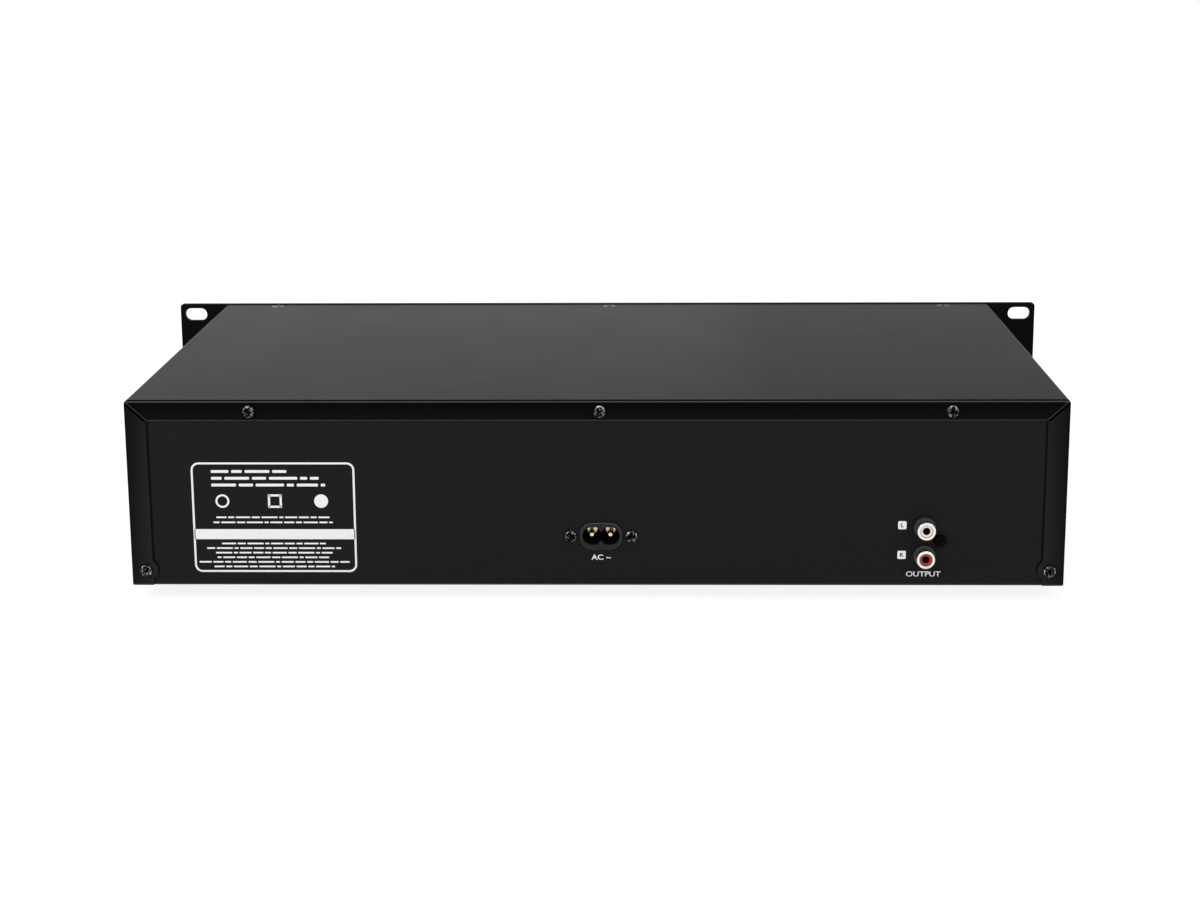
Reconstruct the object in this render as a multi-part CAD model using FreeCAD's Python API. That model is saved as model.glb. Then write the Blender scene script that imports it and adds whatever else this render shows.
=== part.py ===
"""Twin-tray disc player in a two-unit rack case.

Millimetres. The origin is the middle of the rack hole pattern, on the rear face of the front
panel, where that panel meets the rack. +X is to the right seen from the front, +Y goes to the
rear and +Z is up. Both trays are shut, both drive units are lowered and every key is out.
"""
import FreeCAD
import Part
import math
import os

V = FreeCAD.Vector
X_AXIS = V(1, 0, 0)
Y_AXIS = V(0, 1, 0)
Z_AXIS = V(0, 0, 1)
SIDES = (-1, 1)
DECKS = ("1", "2")

# ---- front panel -------------------------------------------------------------------------
PANEL_W = 482.6            # nineteen-inch rack panel
PANEL_H = 88.1             # two rack units, less the fitting gap
PANEL_T = 3.0
PANEL_CORNER_R = 2.0
PANEL_EDGE = 0.4
RACK_HOLE_SPAN = 465.1
RACK_HOLE_RISE = 76.2
RACK_SLOT_L = 12.4
RACK_SLOT_W = 7.0

# ---- sheet-metal case --------------------------------------------------------------------
BODY_W = 430.0
BODY_H = 87.4
BODY_D = 264.0             # behind the front panel
SHEET = 1.0
BEND_R = 1.6               # outside of every fold
COVER_GAP = 0.2            # between the cover's sides and the chassis
COVER_LIFT = 0.4           # cover's lower edge above the chassis's underside
LIP_TOP = 9.2              # the cover's folded edges on the rear wall
LIP_SIDE = 10.0
LOBE_R = 5.2               # ear of the side lip around its screw
LOBE_INSET_X = 7.0
LOBE_RISE = 7.6
LIP_EDGE = 0.3             # bevel on the lips' inner edges
MITRE_GAP = 0.5
SIDE_FLANGE_H = 12.0
TOP_FLANGE_D = 14.0
TOP_SCREW_Y = 6.0
TOP_SCREW_INSET = 28.0     # outer screws of each row from the case's side, measured from the row's middle
REAR_SCREW_INSET = 55.4
REAR_SCREW_DROP = 4.8
SCREW_ROW_X = -2.0         # the cover's screw rows sit a little off centre
FRONT_WALL_ROOM = 1.0      # between the front wall and what stands in its openings
MOUTH_SIDE = 2.5           # front wall's opening past a tray front, at each end
MOUTH_RISE = 1.5
VENT_COUNT = 9
VENT_L = 34.0
VENT_W = 3.0
VENT_PITCH = 8.0

# ---- fasteners ---------------------------------------------------------------------------
SCREW_R = 1.5
SCREW_CLEAR = 0.1
PAN_HEAD_R = 2.9
PAN_HEAD_H = 2.0
PAN_DOME = 0.9
SINK_HEAD_R = 3.4          # countersunk, ninety degrees
SINK_LAND = 0.2            # straight rim of a countersunk head
SCREW_L = 6.0

# ---- feet --------------------------------------------------------------------------------
FOOT_R = 10.0
FOOT_TAPER = 1.5
FOOT_H = 7.0
FOOT_WELL_R = 4.5
FOOT_WELL_DEPTH = 4.0
FOOT_INSET_X = 35.0
FOOT_FRONT_Y = 32.0
FOOT_REAR_INSET = 45.0

# ---- mains inlet -------------------------------------------------------------------------
INLET_X = -2.4
INLET_Z = -19.8
INLET_W = 19.3
INLET_H = 12.6
INLET_PROUD = 1.2
INLET_RIM_R = 0.5
INLET_BODY_D = 17.0
INLET_CAVITY_W = 17.0
INLET_CAVITY_H = 8.6
INLET_CORNER_R = 5.7
INLET_CAVITY_R = 4.2
INLET_CAVITY_DEPTH = 14.0
INLET_RIDGE = 2.1          # height of the two keys that pinch the cavity in the middle
INLET_SCREW_PITCH = 28.0
INLET_FLANGE_W = 37.0
INLET_FLANGE_H = 14.0
INLET_FLANGE_T = 2.0
INLET_FLANGE_R = 3.0
PIN_PITCH = 8.6
PIN_R = 1.2
PIN_TIP_R = 0.7
PIN_L = 11.0
PIN_BACK = 2.6             # how far the pins stand in the inlet's floor
PIN_COLLAR_R = 2.3
PIN_COLLAR_T = 0.6         # collar seated on the inlet's floor
FIT = 0.2                  # between a panel cut-out and what stands in it

# ---- line-out sockets --------------------------------------------------------------------
PHONO_INSET = 64.5         # sockets' axis from the case's side
PHONO_Z = -22.1            # between the two sockets
PHONO_PITCH = 13.4
PHONO_BLOCK_L = 6.0        # from the sockets' axis to the block's inner side
PHONO_SCREW_SIDE = 7.2     # from the sockets' axis to the fixing screw
PHONO_BLOCK_RISE = 12.5    # block above the middle; below, it stands on the main board
PHONO_BLOCK_D = 12.0
PHONO_COLLAR_R = 5.0
PHONO_COLLAR_L = 2.6
PHONO_SHELL_R = 4.2
PHONO_STEM_R = 4.0         # sleeve inside its collar
PHONO_SHELL_T = 1.2
PHONO_RIM_R = 0.4
PHONO_BLOCK_WALL = 2.0
PHONO_LUG_ROOM = 1.0       # block past its screw's head
PHONO_HOLE_FLOOR = 3.0
PHONO_PROUD = 9.0          # tip of a socket from the rear wall
PHONO_INSERT_SET = 0.7     # insert's face behind the tip
PHONO_HOLE_R = 1.6
PHONO_FIT = 0.05

# ---- controls on the front ---------------------------------------------------------------
DECK_SIDE_ROOM = 17.4      # between a deck's legs and the case's side
TRAY_FRONT_W = 150.0
TRAY_FRONT_H = 19.0
TRAY_FRONT_Z = 22.0
TRAY_FRONT_CORNER_R = 1.0
TRAY_GAP = 0.6
WINDOW_W = 64.0
WINDOW_H = 20.0
WINDOW_U = -45.0           # from the deck's centre line
WINDOW_Z = -3.0
WINDOW_CORNER_R = 1.0
WINDOW_FLANGE = 2.0
WINDOW_FLANGE_T = 1.0
KEY_H = 11.0
KEY_Z = -25.5
KEY_CORNER_R = 1.5
KEY_PROUD = 1.8
KEY_GAP = 0.3
KEY_TRAVEL = 1.0
KEY_FLANGE = 1.4
KEY_FLANGE_T = 1.2
KEY_STEM_R = 1.6
KEY_EDGE = 0.5
KEY_STEM_IN = 0.4          # stem's reach into its switch
KEY_FLANGE_ROOM = 0.4      # round a key's flange in the front wall
# Keys: centre from the deck's centre line, width.
KEYS = {"back": (-70.5, 13.0), "next": (-54.5, 13.0), "cue": (-36.0, 18.0), "play": (-15.0, 18.0)}
OPEN_KEY_INSET = 9.0       # from the case's side
OPEN_KEY_W = 12.0
OPEN_KEY_H = 8.0
POWER_KEY_Z = 23.0
POWER_KEY_W = 16.0
JOG_U = 28.0
JOG_Z = -14.5
JOG_R = 22.0
JOG_T = 9.0
JOG_GAP = 0.8              # between the jog wheel and the panel
JOG_GRIPS = 24
JOG_GRIP_R = 1.6
JOG_EDGE = 1.2
JOG_GRIP_OUT = 0.7         # axis of a grip outside the wheel's rim
JOG_GROOVE_INSET = 4.0     # ring groove on the face, from the rim
JOG_GROOVE_W = 1.2
JOG_GROOVE_DEPTH = 1.0
JOG_FACE_SET = 0.2         # face inside the groove, behind the rim's face
JOG_DIMPLE_R = 9.6         # ball that shapes the dimple
JOG_DIMPLE_DEPTH = 3.9
JOG_DIMPLE_OUT = 9.2       # from the wheel's axis
JOG_SHAFT_R = 3.0
JOG_SHAFT_FIT = 0.05
JOG_SHAFT_SET = 2.0        # shaft's end in front of the control board
JOG_HOLE_R = 3.8
SLIDER_U = 66.0
SLIDER_Z = -14.5
SLIDER_TRAVEL = 30.0
SLIDER_LEVER_W = 3.0
SLIDER_LEVER_T = 1.4
SLIDER_LEVER_GAP = 0.6     # in front of the floor of the fader's slot
SLIDER_SLOT_W = 2.4
SLIDER_SLOT_ROOM = 1.0     # past the lever at each end of its travel
SLIDER_KNOB_L = 8.0        # along the slot
SLIDER_KNOB_TOP_L = 5.8
SLIDER_MARK_W = 1.0        # groove across the knob
SLIDER_MARK_DEPTH = 0.8
SLIDER_KNOB_W = 12.0
SLIDER_KNOB_T = 8.0
SLIDER_KNOB_GAP = 0.6
CROSSFADER_Z = -24.0
PANEL_SCREW_INSET = 8.0    # from the case's side
PANEL_SCREW_Z = 37.5

# ---- board behind the controls -----------------------------------------------------------
BOARD_T = 1.6
CONTROL_BOARD_Y = 9.0
CONTROL_BOARD_INSET = 3.0  # from the case's side
CONTROL_BOARD_RISE = 1.0   # above the case's floor
CONTROL_BOARD_TOP = 9.0
CONTROL_BOARD_EAR_W = 12.0
CONTROL_BOARD_EAR_TOP = 30.0
SWITCH_SIZE = 6.5
SWITCH_T = 3.4
SWITCH_HOLE_R = 1.9
SWITCH_ROOM = 0.3          # past a pressed key's stem
ENCODER_SIZE = 13.0
ENCODER_T = 6.6
ENCODER_FLOOR = 1.0
FADER_W = 9.0
FADER_L = 46.0
FADER_T = 6.6
FADER_SLOT_DEPTH = 4.0
DISPLAY_LIP = 3.0          # the glass is smaller than the window all round by this
DISPLAY_BEZEL = 1.2
DISPLAY_CORNER_R = 0.5
STUD_R = 3.0
STUD_END = 2.0             # solid end of a stud on the front wall
CONTROL_STUD_MIDDLE_Z = 2.0

# ---- disc tray ---------------------------------------------------------------------------
DISC_Y = 76.0              # disc centre with the tray shut
TRAY_TRAVEL = 140.0
TRAY_W = 130.0
TRAY_FRONT_Y = 1.0
TRAY_REAR_Y = 180.0
TRAY_Z = 21.0              # underside
TRAY_T = 5.5
TRAY_CORNER_R = 6.0
RECESS_R = 61.0
RECESS_DEPTH = 3.5
SMALL_RECESS_R = 41.0
SMALL_RECESS_DEPTH = 0.8
SPINDLE_OPENING_R = 19.0
PICKUP_SLOT_Y = 141.0      # rear end of the slot for the pickup
POCKET_GAP = 8.0           # moulding pockets behind the disc
POCKET_RIM = 5.0
POCKET_SIDE = 10.0
POCKET_FLOOR = 2.0
POCKET_CORNER_R = 3.0
TONGUE_X = 40.0
TONGUE_W = 10.0
TONGUE_T = 2.4
TONGUE_L = 2.6
TONGUE_FIT = 0.15
TRAY_CAP_WALL = 1.6
TRAY_CAP_PROUD = 1.5
TRAY_CAP_EDGE = 0.6

# ---- tray drive --------------------------------------------------------------------------
MODULE = 1.0
PINION_TEETH = 18
PRESSURE_ANGLE = math.radians(20.0)
ADDENDUM = 0.95
DEDENDUM = 1.25
BACKLASH = 0.24
GEAR_U = 42.0
GEAR_Y = 32.0
PINION_H = 3.8
RACK_H = 4.5
RACK_BACK = 3.2
TRAY_TO_GEAR = 0.4
PULLEY_R = 14.0
PULLEY_GROOVE_R = 12.0
PULLEY_H = 4.0
PULLEY_DROP = 1.8          # pulley's top below the pinion's foot
POST_R = 2.0
POST_FIT = 0.05
MOTOR_U = -10.0
MOTOR_R = 12.0
MOTOR_L = 20.0
MOTOR_PULLEY_R = 4.6
MOTOR_GROOVE_R = 3.0
MOTOR_SHAFT_R = 1.0
MOTOR_COLLAR_R = 3.0
BELT_T = 1.2
BELT_H = 1.4
BELT_FIT = 0.1
GROOVE_H = 2.0

# ---- deck frame --------------------------------------------------------------------------
FRAME_FRONT_Y = 14.0
FRAME_REAR_Y = 195.0
FRAME_WALL = 3.4
FRAME_REAR_WALL = 2.5
FRAME_TRAY_GAP = 0.6
FRAME_BOTTOM_Z = -12.0
FRAME_TOP_Z = 29.0
RAIL_GAP = 0.4
RAIL_DEPTH = 4.0
RAIL_T = 2.0
FRAME_PLATE_Z = 8.0
FRAME_PLATE_T = 2.0
FRONT_PLATE_REAR_Y = 46.0
REAR_PLATE_DROP = 1.0      # rear plate below the front one, clear of the pivot shaft
REAR_PLATE_FRONT_Y = 156.0
FRAME_WINDOWS = (60.0, 96.0, 132.0)
FRAME_WINDOW_L = 26.0
FRAME_WINDOW_H = 12.0
FRAME_WINDOW_R = 3.0
FRAME_WINDOW_Z = 1.0
LEG_W = 10.0
LEG_L = 12.0
LEG_INSET = 4.0
BRIDGE_W = 22.0
BRIDGE_BOSS_L = 14.0
BRIDGE_BOSS_H = 10.0
BRIDGE_T = 1.6
BRIDGE_CORNER_R = 4.0
BRIDGE_RING_R = 20.0
BRIDGE_HOLE_R = 12.0
CLAMP_R = 16.0
CLAMP_NECK_R = 11.0
CLAMP_FLANGE_R = 15.0
CLAMP_FLANGE_T = 1.4
CLAMP_Z = 27.0
CLAMP_T = 1.6
CLAMP_RECESS_R = 8.6
CLAMP_RECESS_DEPTH = 2.5
CLAMP_REST_GAP = 0.2

# ---- drive unit that swings up to the disc -----------------------------------------------
PIVOT_Y = 163.0
PIVOT_Z = 12.0
PIVOT_R = 2.0
PIVOT_FIT = 0.08
PIVOT_HALF = 52.0
BEARING_W = 6.0
BEARING_L = 10.0
BEARING_RISE = 3.5         # bearing block above the pivot, under the rack
BEARING_OVERHANG = 0.6     # bearing block past the end of the pivot shaft
LIFT_ANGLE = 6.0           # from lowered to level
UNIT_W = 76.0
UNIT_FRONT_Y = 48.0
UNIT_REAR_Y = 158.0
UNIT_Z = 14.0
UNIT_T = 2.0
UNIT_SLOT_W = 36.0
UNIT_SLOT_CORNER_R = 4.0
UNIT_SKIRT_DROP = 3.0      # folded sides below the plate
UNIT_ARM_W = 7.0           # arms back to the pivot shaft
ROD_X = 24.0
ROD_Z = 11.0
ROD_R = 1.5
ROD_FIT = 0.05
ROD_BLOCK_L = 4.0
ROD_BLOCK_W = 7.0
ROD_BLOCK_WALL = 1.5       # under the rod
SPINDLE_R = 1.0
SPINDLE_COLLAR_R = 2.8
SPINDLE_MOTOR_R = 12.0
SPINDLE_MOTOR_H = 8.0
TABLE_R = 14.5
TABLE_TOP_Z = 25.8
TABLE_T = 2.4
TABLE_HUB_R = 5.0
TABLE_BOSS_R = 7.4
TABLE_BOSS_H = 2.5
TABLE_BOSS_TAPER = 1.2
TABLE_HUB_GAP = 0.6        # between the hub and the unit's plate
TABLE_BORE_ROOM = 0.2      # above the end of the spindle
PICKUP_Y = 100.0           # lens nearest the spindle
PICKUP_TRAVEL = 34.0
SLED_L = 15.0
SLED_FRONT_GAP = 0.5       # between the sled and the rod blocks, at each end of its travel
SLED_REAR_GAP = 6.5
UNIT_SLOT_FRONT_Y = PICKUP_Y - SLED_L / 2 - SLED_FRONT_GAP
UNIT_SLOT_REAR_Y = PICKUP_Y + SLED_L / 2 + PICKUP_TRAVEL + SLED_REAR_GAP
SLED_BELOW = 3.0           # from the rods' axes to the sled's underside
SLED_ABOVE = 2.4
SLED_END = 4.5             # from a rod's centre to the sled's end
TOWER_W = 20.0
TOWER_SET = 1.0            # behind the sled's front and in front of its rear
TOWER_TOP_Z = 19.5
LENS_R = 4.0
LENS_TOP_Z = 23.4

# ---- boards in the case ------------------------------------------------------------------
STUD_H = 6.0
MAIN_BOARD_INSET = 9.0     # from the case's side
MAIN_BOARD_GAP = 5.0       # behind the deck
MAIN_BOARD_REAR_GAP = 4.0  # in front of the rear wall
MAIN_BOARD_END_X = -62.0
POWER_BOARD_GAP = 5.4      # from the decks' legs
POWER_BOARD_FRONT_Y = 118.0
POWER_BOARD_REAR_GAP = 20.0
BOARD_HOLE_INSET = 5.0
# Chips: from the board's left end, from its front, width, depth, height.
CHIPS = ((16.0, 14.0, 14.0, 14.0, 2.0), (80.0, 16.0, 20.0, 20.0, 2.4), (118.0, 22.0, 12.0, 8.0, 1.8))
# Transformer: x, from the board's front, width, depth, height.
TRANSFORMER = (0.0, 72.0, 32.0, 28.0, 24.0)
TRANSFORMER_RIM = 5.0      # winding's waist inside the core's width
TRANSFORMER_BULGE = 3.0    # winding past the core's faces
# Capacitors: x, from the board's front, radius, height.
CAPACITORS = ((-9.0, 32.0, 8.0, 26.0), (8.0, 30.0, 6.0, 20.0), (8.0, 46.0, 6.0, 20.0))

# ---- places that follow ------------------------------------------------------------------
TOP_Z = BODY_H / 2
BOTTOM_Z = -BODY_H / 2
FLOOR_Z = BOTTOM_Z + SHEET
WALL_REAR_Y = BODY_D - SHEET           # the rear wall lies under the cover's lips
WALL_FRONT_Y = WALL_REAR_Y - SHEET
CHASSIS_HALF = BODY_W / 2 - SHEET - COVER_GAP
FRAME_INNER = TRAY_W / 2 + FRAME_TRAY_GAP
FRAME_OUTER = FRAME_INNER + FRAME_WALL
DECK_HALF = FRAME_INNER + LEG_W
DECK_X = BODY_W / 2 - DECK_SIDE_ROOM - DECK_HALF
DECK_CENTRE = {"1": -DECK_X, "2": DECK_X}
TRAY_TOP_Z = TRAY_Z + TRAY_T
TRAY_REST_Z = TRAY_TOP_Z - RECESS_DEPTH
PITCH_R = MODULE * PINION_TEETH / 2
TOOTH_PITCH = math.pi * MODULE
PINION_TOP_Z = TRAY_Z - TRAY_TO_GEAR
PINION_Z = PINION_TOP_Z - PINION_H
PULLEY_TOP_Z = PINION_Z - PULLEY_DROP
PULLEY_Z = PULLEY_TOP_Z - PULLEY_H
GROOVE_Z = PULLEY_Z + PULLEY_H / 2
LEG_CENTRE = FRAME_INNER + LEG_W / 2
LEG_Y = (FRAME_FRONT_Y + LEG_INSET + LEG_L / 2, FRAME_REAR_Y - LEG_INSET - LEG_L / 2)
LEG_BORE_L = 9.0
REAR_SCREW_PITCH = BODY_W / 2 - REAR_SCREW_INSET
TOP_SCREW_PITCH = BODY_W / 2 - TOP_SCREW_INSET
PANEL_SCREW_X = BODY_W / 2 - PANEL_SCREW_INSET
OPEN_KEY_X = BODY_W / 2 - OPEN_KEY_INSET
PHONO_X = PHONO_INSET - BODY_W / 2
MAIN_BOARD_X = (MAIN_BOARD_INSET - BODY_W / 2, MAIN_BOARD_END_X)
MAIN_BOARD_Y = (FRAME_REAR_Y + MAIN_BOARD_GAP, WALL_FRONT_Y - MAIN_BOARD_REAR_GAP)
POWER_BOARD_HALF = DECK_X - DECK_HALF - POWER_BOARD_GAP
POWER_BOARD_X = (-POWER_BOARD_HALF, POWER_BOARD_HALF)
POWER_BOARD_Y = (POWER_BOARD_FRONT_Y, WALL_FRONT_Y - POWER_BOARD_REAR_GAP)
REAR_SCREWS = [(SCREW_ROW_X + k * REAR_SCREW_PITCH, TOP_Z - REAR_SCREW_DROP) for k in (-1, 0, 1)]
LOBE_SCREWS = [(side * (BODY_W / 2 - LOBE_INSET_X), BOTTOM_Z + LOBE_RISE) for side in SIDES]
TOP_SCREWS = [(SCREW_ROW_X + k * TOP_SCREW_PITCH, TOP_SCREW_Y) for k in (-1, 0, 1)]
PANEL_SCREWS = [(kx * PANEL_SCREW_X, kz * PANEL_SCREW_Z) for kx in (-1, 0, 1) for kz in SIDES]
INLET_SCREWS = [(INLET_X + side * INLET_SCREW_PITCH / 2, INLET_Z) for side in SIDES]
PHONO_SCREW = (PHONO_X - PHONO_SCREW_SIDE, PHONO_Z)
PHONO_SOCKETS = {"white": PHONO_Z + PHONO_PITCH / 2, "red": PHONO_Z - PHONO_PITCH / 2}
FEET = [(side * (BODY_W / 2 - FOOT_INSET_X), y) for side in SIDES
        for y in (FOOT_FRONT_Y, BODY_D - FOOT_REAR_INSET)]
LEGS = [(DECK_CENTRE[deck] + side * LEG_CENTRE, y) for deck in DECKS for side in SIDES for y in LEG_Y]
STUD_TOP_Z = FLOOR_Z + STUD_H
SWITCH_FRONT_Y = CONTROL_BOARD_Y - SWITCH_T
KEY_STEM_END_Y = SWITCH_FRONT_Y + KEY_STEM_IN
SLIDER_SLOT_L = SLIDER_TRAVEL + SLIDER_LEVER_W + 2 * SLIDER_SLOT_ROOM
CUT = 1.0                              # how far a cutter runs past what it cuts
SINK = 0.5                             # how far a piece runs into the one it is fused with


# ---- simple forms ------------------------------------------------------------------------
def slab(x0, x1, y0, y1, z0, z1):
    """Block between two limits on each axis."""
    return Part.makeBox(x1 - x0, y1 - y0, z1 - z0, V(x0, y0, z0))


def rod_x(radius, x0, x1, y, z):
    return Part.makeCylinder(radius, x1 - x0, V(x0, y, z), X_AXIS)


def rod_y(radius, x, y0, y1, z):
    return Part.makeCylinder(radius, y1 - y0, V(x, y0, z), Y_AXIS)


def rod_z(radius, x, y, z0, z1):
    return Part.makeCylinder(radius, z1 - z0, V(x, y, z0), Z_AXIS)


def rounded_face(width, height, radius):
    """Rounded rectangle on the XY plane, centred on the origin."""
    u = width / 2 - radius
    v = height / 2 - radius
    centres = [(u, v), (-u, v), (-u, -v), (u, -v)]
    arcs = []
    for turn, (cx, cy) in enumerate(centres):
        angles = [(turn + step / 2) * math.pi / 2 for step in (0, 1, 2)]
        arcs.append([V(cx + radius * math.cos(a), cy + radius * math.sin(a), 0) for a in angles])
    edges = []
    for arc, following in zip(arcs, arcs[1:] + arcs[:1]):
        edges.append(Part.Arc(*arc).toShape())
        if arc[2].distanceToPoint(following[0]) > 1e-6:
            edges.append(Part.LineSegment(arc[2], following[0]).toShape())
    return Part.Face(Part.Wire(edges))


def plate_y(width, height, radius, x, z, y0, y1):
    """Rounded plate that stands on the XZ plane."""
    face = rounded_face(width, height, radius)
    face.rotate(V(), X_AXIS, 90)
    face.translate(V(x, y0, z))
    return face.extrude(V(0, y1 - y0, 0))


def plate_z(width, length, radius, x, y, z0, z1):
    """Rounded plate that lies on the XY plane."""
    face = rounded_face(width, length, radius)
    face.translate(V(x, y, z0))
    return face.extrude(V(0, 0, z1 - z0))


def polygon_z(points, z0, z1):
    """Prism over a closed outline of (x, y) points."""
    corners = [V(x, y, z0) for x, y in points]
    return Part.Face(Part.makePolygon(corners + corners[:1])).extrude(V(0, 0, z1 - z0))


def fuse(shapes):
    return shapes[0].multiFuse(shapes[1:]).removeSplitter() if len(shapes) > 1 else shapes[0]


def cut(shape, cutters):
    return shape.cut(Part.makeCompound(cutters))


def edges_where(shape, test):
    """Straight edges whose two ends both pass the test."""
    found = []
    for edge in shape.Edges:
        ends = [vertex.Point for vertex in edge.Vertexes]
        if len(ends) == 2 and edge.Curve.TypeId == "Part::GeomLine" and test(*ends):
            found.append(edge)
    return found


def turned(start, end, shape):
    """A shape drawn up +Z from the origin, put at start and pointed at end."""
    moved = shape.copy()
    moved.Placement = FreeCAD.Placement(start, FreeCAD.Rotation(Z_AXIS, end - start))
    return moved


# ---- fasteners ---------------------------------------------------------------------------
def pan_screw(seat, direction, length=SCREW_L):
    """Domed head on the seat, shank running along the direction."""
    head = Part.makeCylinder(PAN_HEAD_R, PAN_HEAD_H, V(0, 0, -PAN_HEAD_H), Z_AXIS)
    rim = [edge for edge in head.Edges if abs(edge.BoundBox.ZMax + PAN_HEAD_H) < 1e-6]
    head = head.makeChamfer(PAN_DOME, rim)
    shank = Part.makeCylinder(SCREW_R, length)
    return turned(seat, seat + direction, head.fuse(shank).removeSplitter())


def sink_cone(radius, land):
    """Ninety-degree head down to the shank, its face on the origin and its shank along +Z."""
    depth = radius - SCREW_R
    rim = Part.makeCylinder(radius, land)
    return rim.fuse(Part.makeCone(radius, SCREW_R, depth, V(0, 0, land), Z_AXIS))


def sink_screw(seat, direction, length=SCREW_L):
    body = sink_cone(SINK_HEAD_R, SINK_LAND).fuse(Part.makeCylinder(SCREW_R, length)).removeSplitter()
    return turned(seat, seat + direction, body)


def sink_hole(seat, direction, length=SCREW_L):
    """Cutter for a countersunk screw, with clearance all round."""
    cone = Part.makeCone(SINK_HEAD_R + SCREW_CLEAR, SCREW_R + SCREW_CLEAR, SINK_HEAD_R - SCREW_R,
                         V(0, 0, SINK_LAND), Z_AXIS)
    land = Part.makeCylinder(SINK_HEAD_R + SCREW_CLEAR, SINK_LAND + CUT, V(0, 0, -CUT), Z_AXIS)
    shank = Part.makeCylinder(SCREW_R + SCREW_CLEAR, length + CUT)
    return turned(seat, seat + direction, land.fuse(cone).fuse(shank))


def screw_hole(seat, direction, length):
    return turned(seat - direction * CUT, seat, Part.makeCylinder(SCREW_R + SCREW_CLEAR, length + CUT))


# ---- the case ----------------------------------------------------------------------------
def key_sites():
    """Name, centre x, centre z, width, height of every key."""
    sites = [("power_key", 0.0, POWER_KEY_Z, POWER_KEY_W, KEY_H)]
    for deck in DECKS:
        x = DECK_CENTRE[deck]
        sites.append((f"open_key_{deck}", math.copysign(OPEN_KEY_X, x), TRAY_FRONT_Z, OPEN_KEY_W, OPEN_KEY_H))
        for name, (u, width) in KEYS.items():
            sites.append((f"{name}_key_{deck}", x + u, KEY_Z, width, KEY_H))
    return sites


def slider_sites():
    """Name, centre x, centre z and whether the slot runs up and down."""
    sites = [(f"pitch_slider_{deck}", DECK_CENTRE[deck] + SLIDER_U, SLIDER_Z, True) for deck in DECKS]
    return sites + [("crossfader", 0.0, CROSSFADER_Z, False)]


def slot_y(length, width, x, z, upright, y0, y1):
    """Rounded slot through the panel, upright or level."""
    across, tall = (width, length) if upright else (length, width)
    return plate_y(across, tall, width / 2, x, z, y0, y1)


def front_panel():
    y0 = -PANEL_T - CUT
    panel = plate_y(PANEL_W, PANEL_H, PANEL_CORNER_R, 0, 0, -PANEL_T, 0)
    front_rim = [edge for edge in panel.Edges if abs(edge.BoundBox.YMax + PANEL_T) < 1e-6]
    panel = panel.makeChamfer(PANEL_EDGE, front_rim)
    cutters = []
    for kx in SIDES:
        for kz in SIDES:
            x, z = kx * RACK_HOLE_SPAN / 2, kz * RACK_HOLE_RISE / 2
            cutters.append(slot_y(RACK_SLOT_L, RACK_SLOT_W, x, z, False, y0, CUT))
    for deck in DECKS:
        x = DECK_CENTRE[deck]
        cutters.append(plate_y(TRAY_FRONT_W + 2 * TRAY_GAP, TRAY_FRONT_H + 2 * TRAY_GAP, TRAY_FRONT_CORNER_R,
                               x, TRAY_FRONT_Z, y0, CUT))
        cutters.append(plate_y(WINDOW_W, WINDOW_H, WINDOW_CORNER_R, x + WINDOW_U, WINDOW_Z, y0, CUT))
        cutters.append(rod_y(JOG_HOLE_R, x + JOG_U, y0, CUT, JOG_Z))
    for _, x, z, width, height in key_sites():
        cutters.append(plate_y(width + 2 * KEY_GAP, height + 2 * KEY_GAP, KEY_CORNER_R + KEY_GAP,
                               x, z, y0, CUT))
    for _, x, z, upright in slider_sites():
        cutters.append(slot_y(SLIDER_SLOT_L, SLIDER_SLOT_W, x, z, upright, y0, CUT))
    for x, z in PANEL_SCREWS:
        cutters.append(sink_hole(V(x, -PANEL_T, z), Y_AXIS))
    return cut(panel, cutters)


def top_cover():
    """Top and two sides in one sheet, with lips folded over the rear wall and mitred at the corners."""
    half = BODY_W / 2

    def folded(inset, y0, z0):
        block = slab(inset - half, half - inset, y0, BODY_D - inset, z0, TOP_Z - inset)
        rear = BODY_D - inset
        top = TOP_Z - inset

        def is_fold(a, b):
            along_top = abs(a.z - top) < 1e-6 and abs(b.z - top) < 1e-6
            along_rear = abs(a.y - rear) < 1e-6 and abs(b.y - rear) < 1e-6
            runs_back = abs(a.x - b.x) < 1e-6 and along_top
            runs_rear = along_rear and not abs(min(a.z, b.z) - max(a.z, b.z)) < 1e-6
            return runs_back or runs_rear or (along_rear and along_top)
        return block.makeFillet(BEND_R - inset, edges_where(block, is_fold))

    shell = folded(0, 0, BOTTOM_Z + COVER_LIFT).cut(folded(SHEET, -CUT, BOTTOM_Z - CUT))
    window = slab(LIP_SIDE - half, half - LIP_SIDE, WALL_FRONT_Y, BODY_D + CUT,
                  BOTTOM_Z - CUT, TOP_Z - LIP_TOP)
    window = cut(window, [rod_y(LOBE_R, x, WALL_FRONT_Y - CUT, BODY_D + 2 * CUT, z) for x, z in LOBE_SCREWS])
    cutters = [window]
    reach = math.hypot(LIP_SIDE, LIP_TOP) + CUT
    for side in SIDES:
        gap = slab(-CUT, reach, BODY_D - SHEET - BEND_R, BODY_D + CUT, -MITRE_GAP / 2, MITRE_GAP / 2)
        angle = math.degrees(math.atan2(LIP_TOP, LIP_SIDE))
        gap.rotate(V(), Y_AXIS, angle if side < 0 else 180 - angle)
        gap.translate(V(side * half, 0, TOP_Z))
        cutters.append(gap)
    cutters += [screw_hole(V(x, BODY_D, z), -Y_AXIS, 2 * SHEET) for x, z in REAR_SCREWS + LOBE_SCREWS]
    cutters += [sink_hole(V(x, y, TOP_Z), -Z_AXIS) for x, y in TOP_SCREWS]
    cover = cut(shell, cutters)
    lip_edges = [edge for edge in cover.Edges if is_lip_edge(edge)]
    return cover.makeChamfer(LIP_EDGE, lip_edges)


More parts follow.
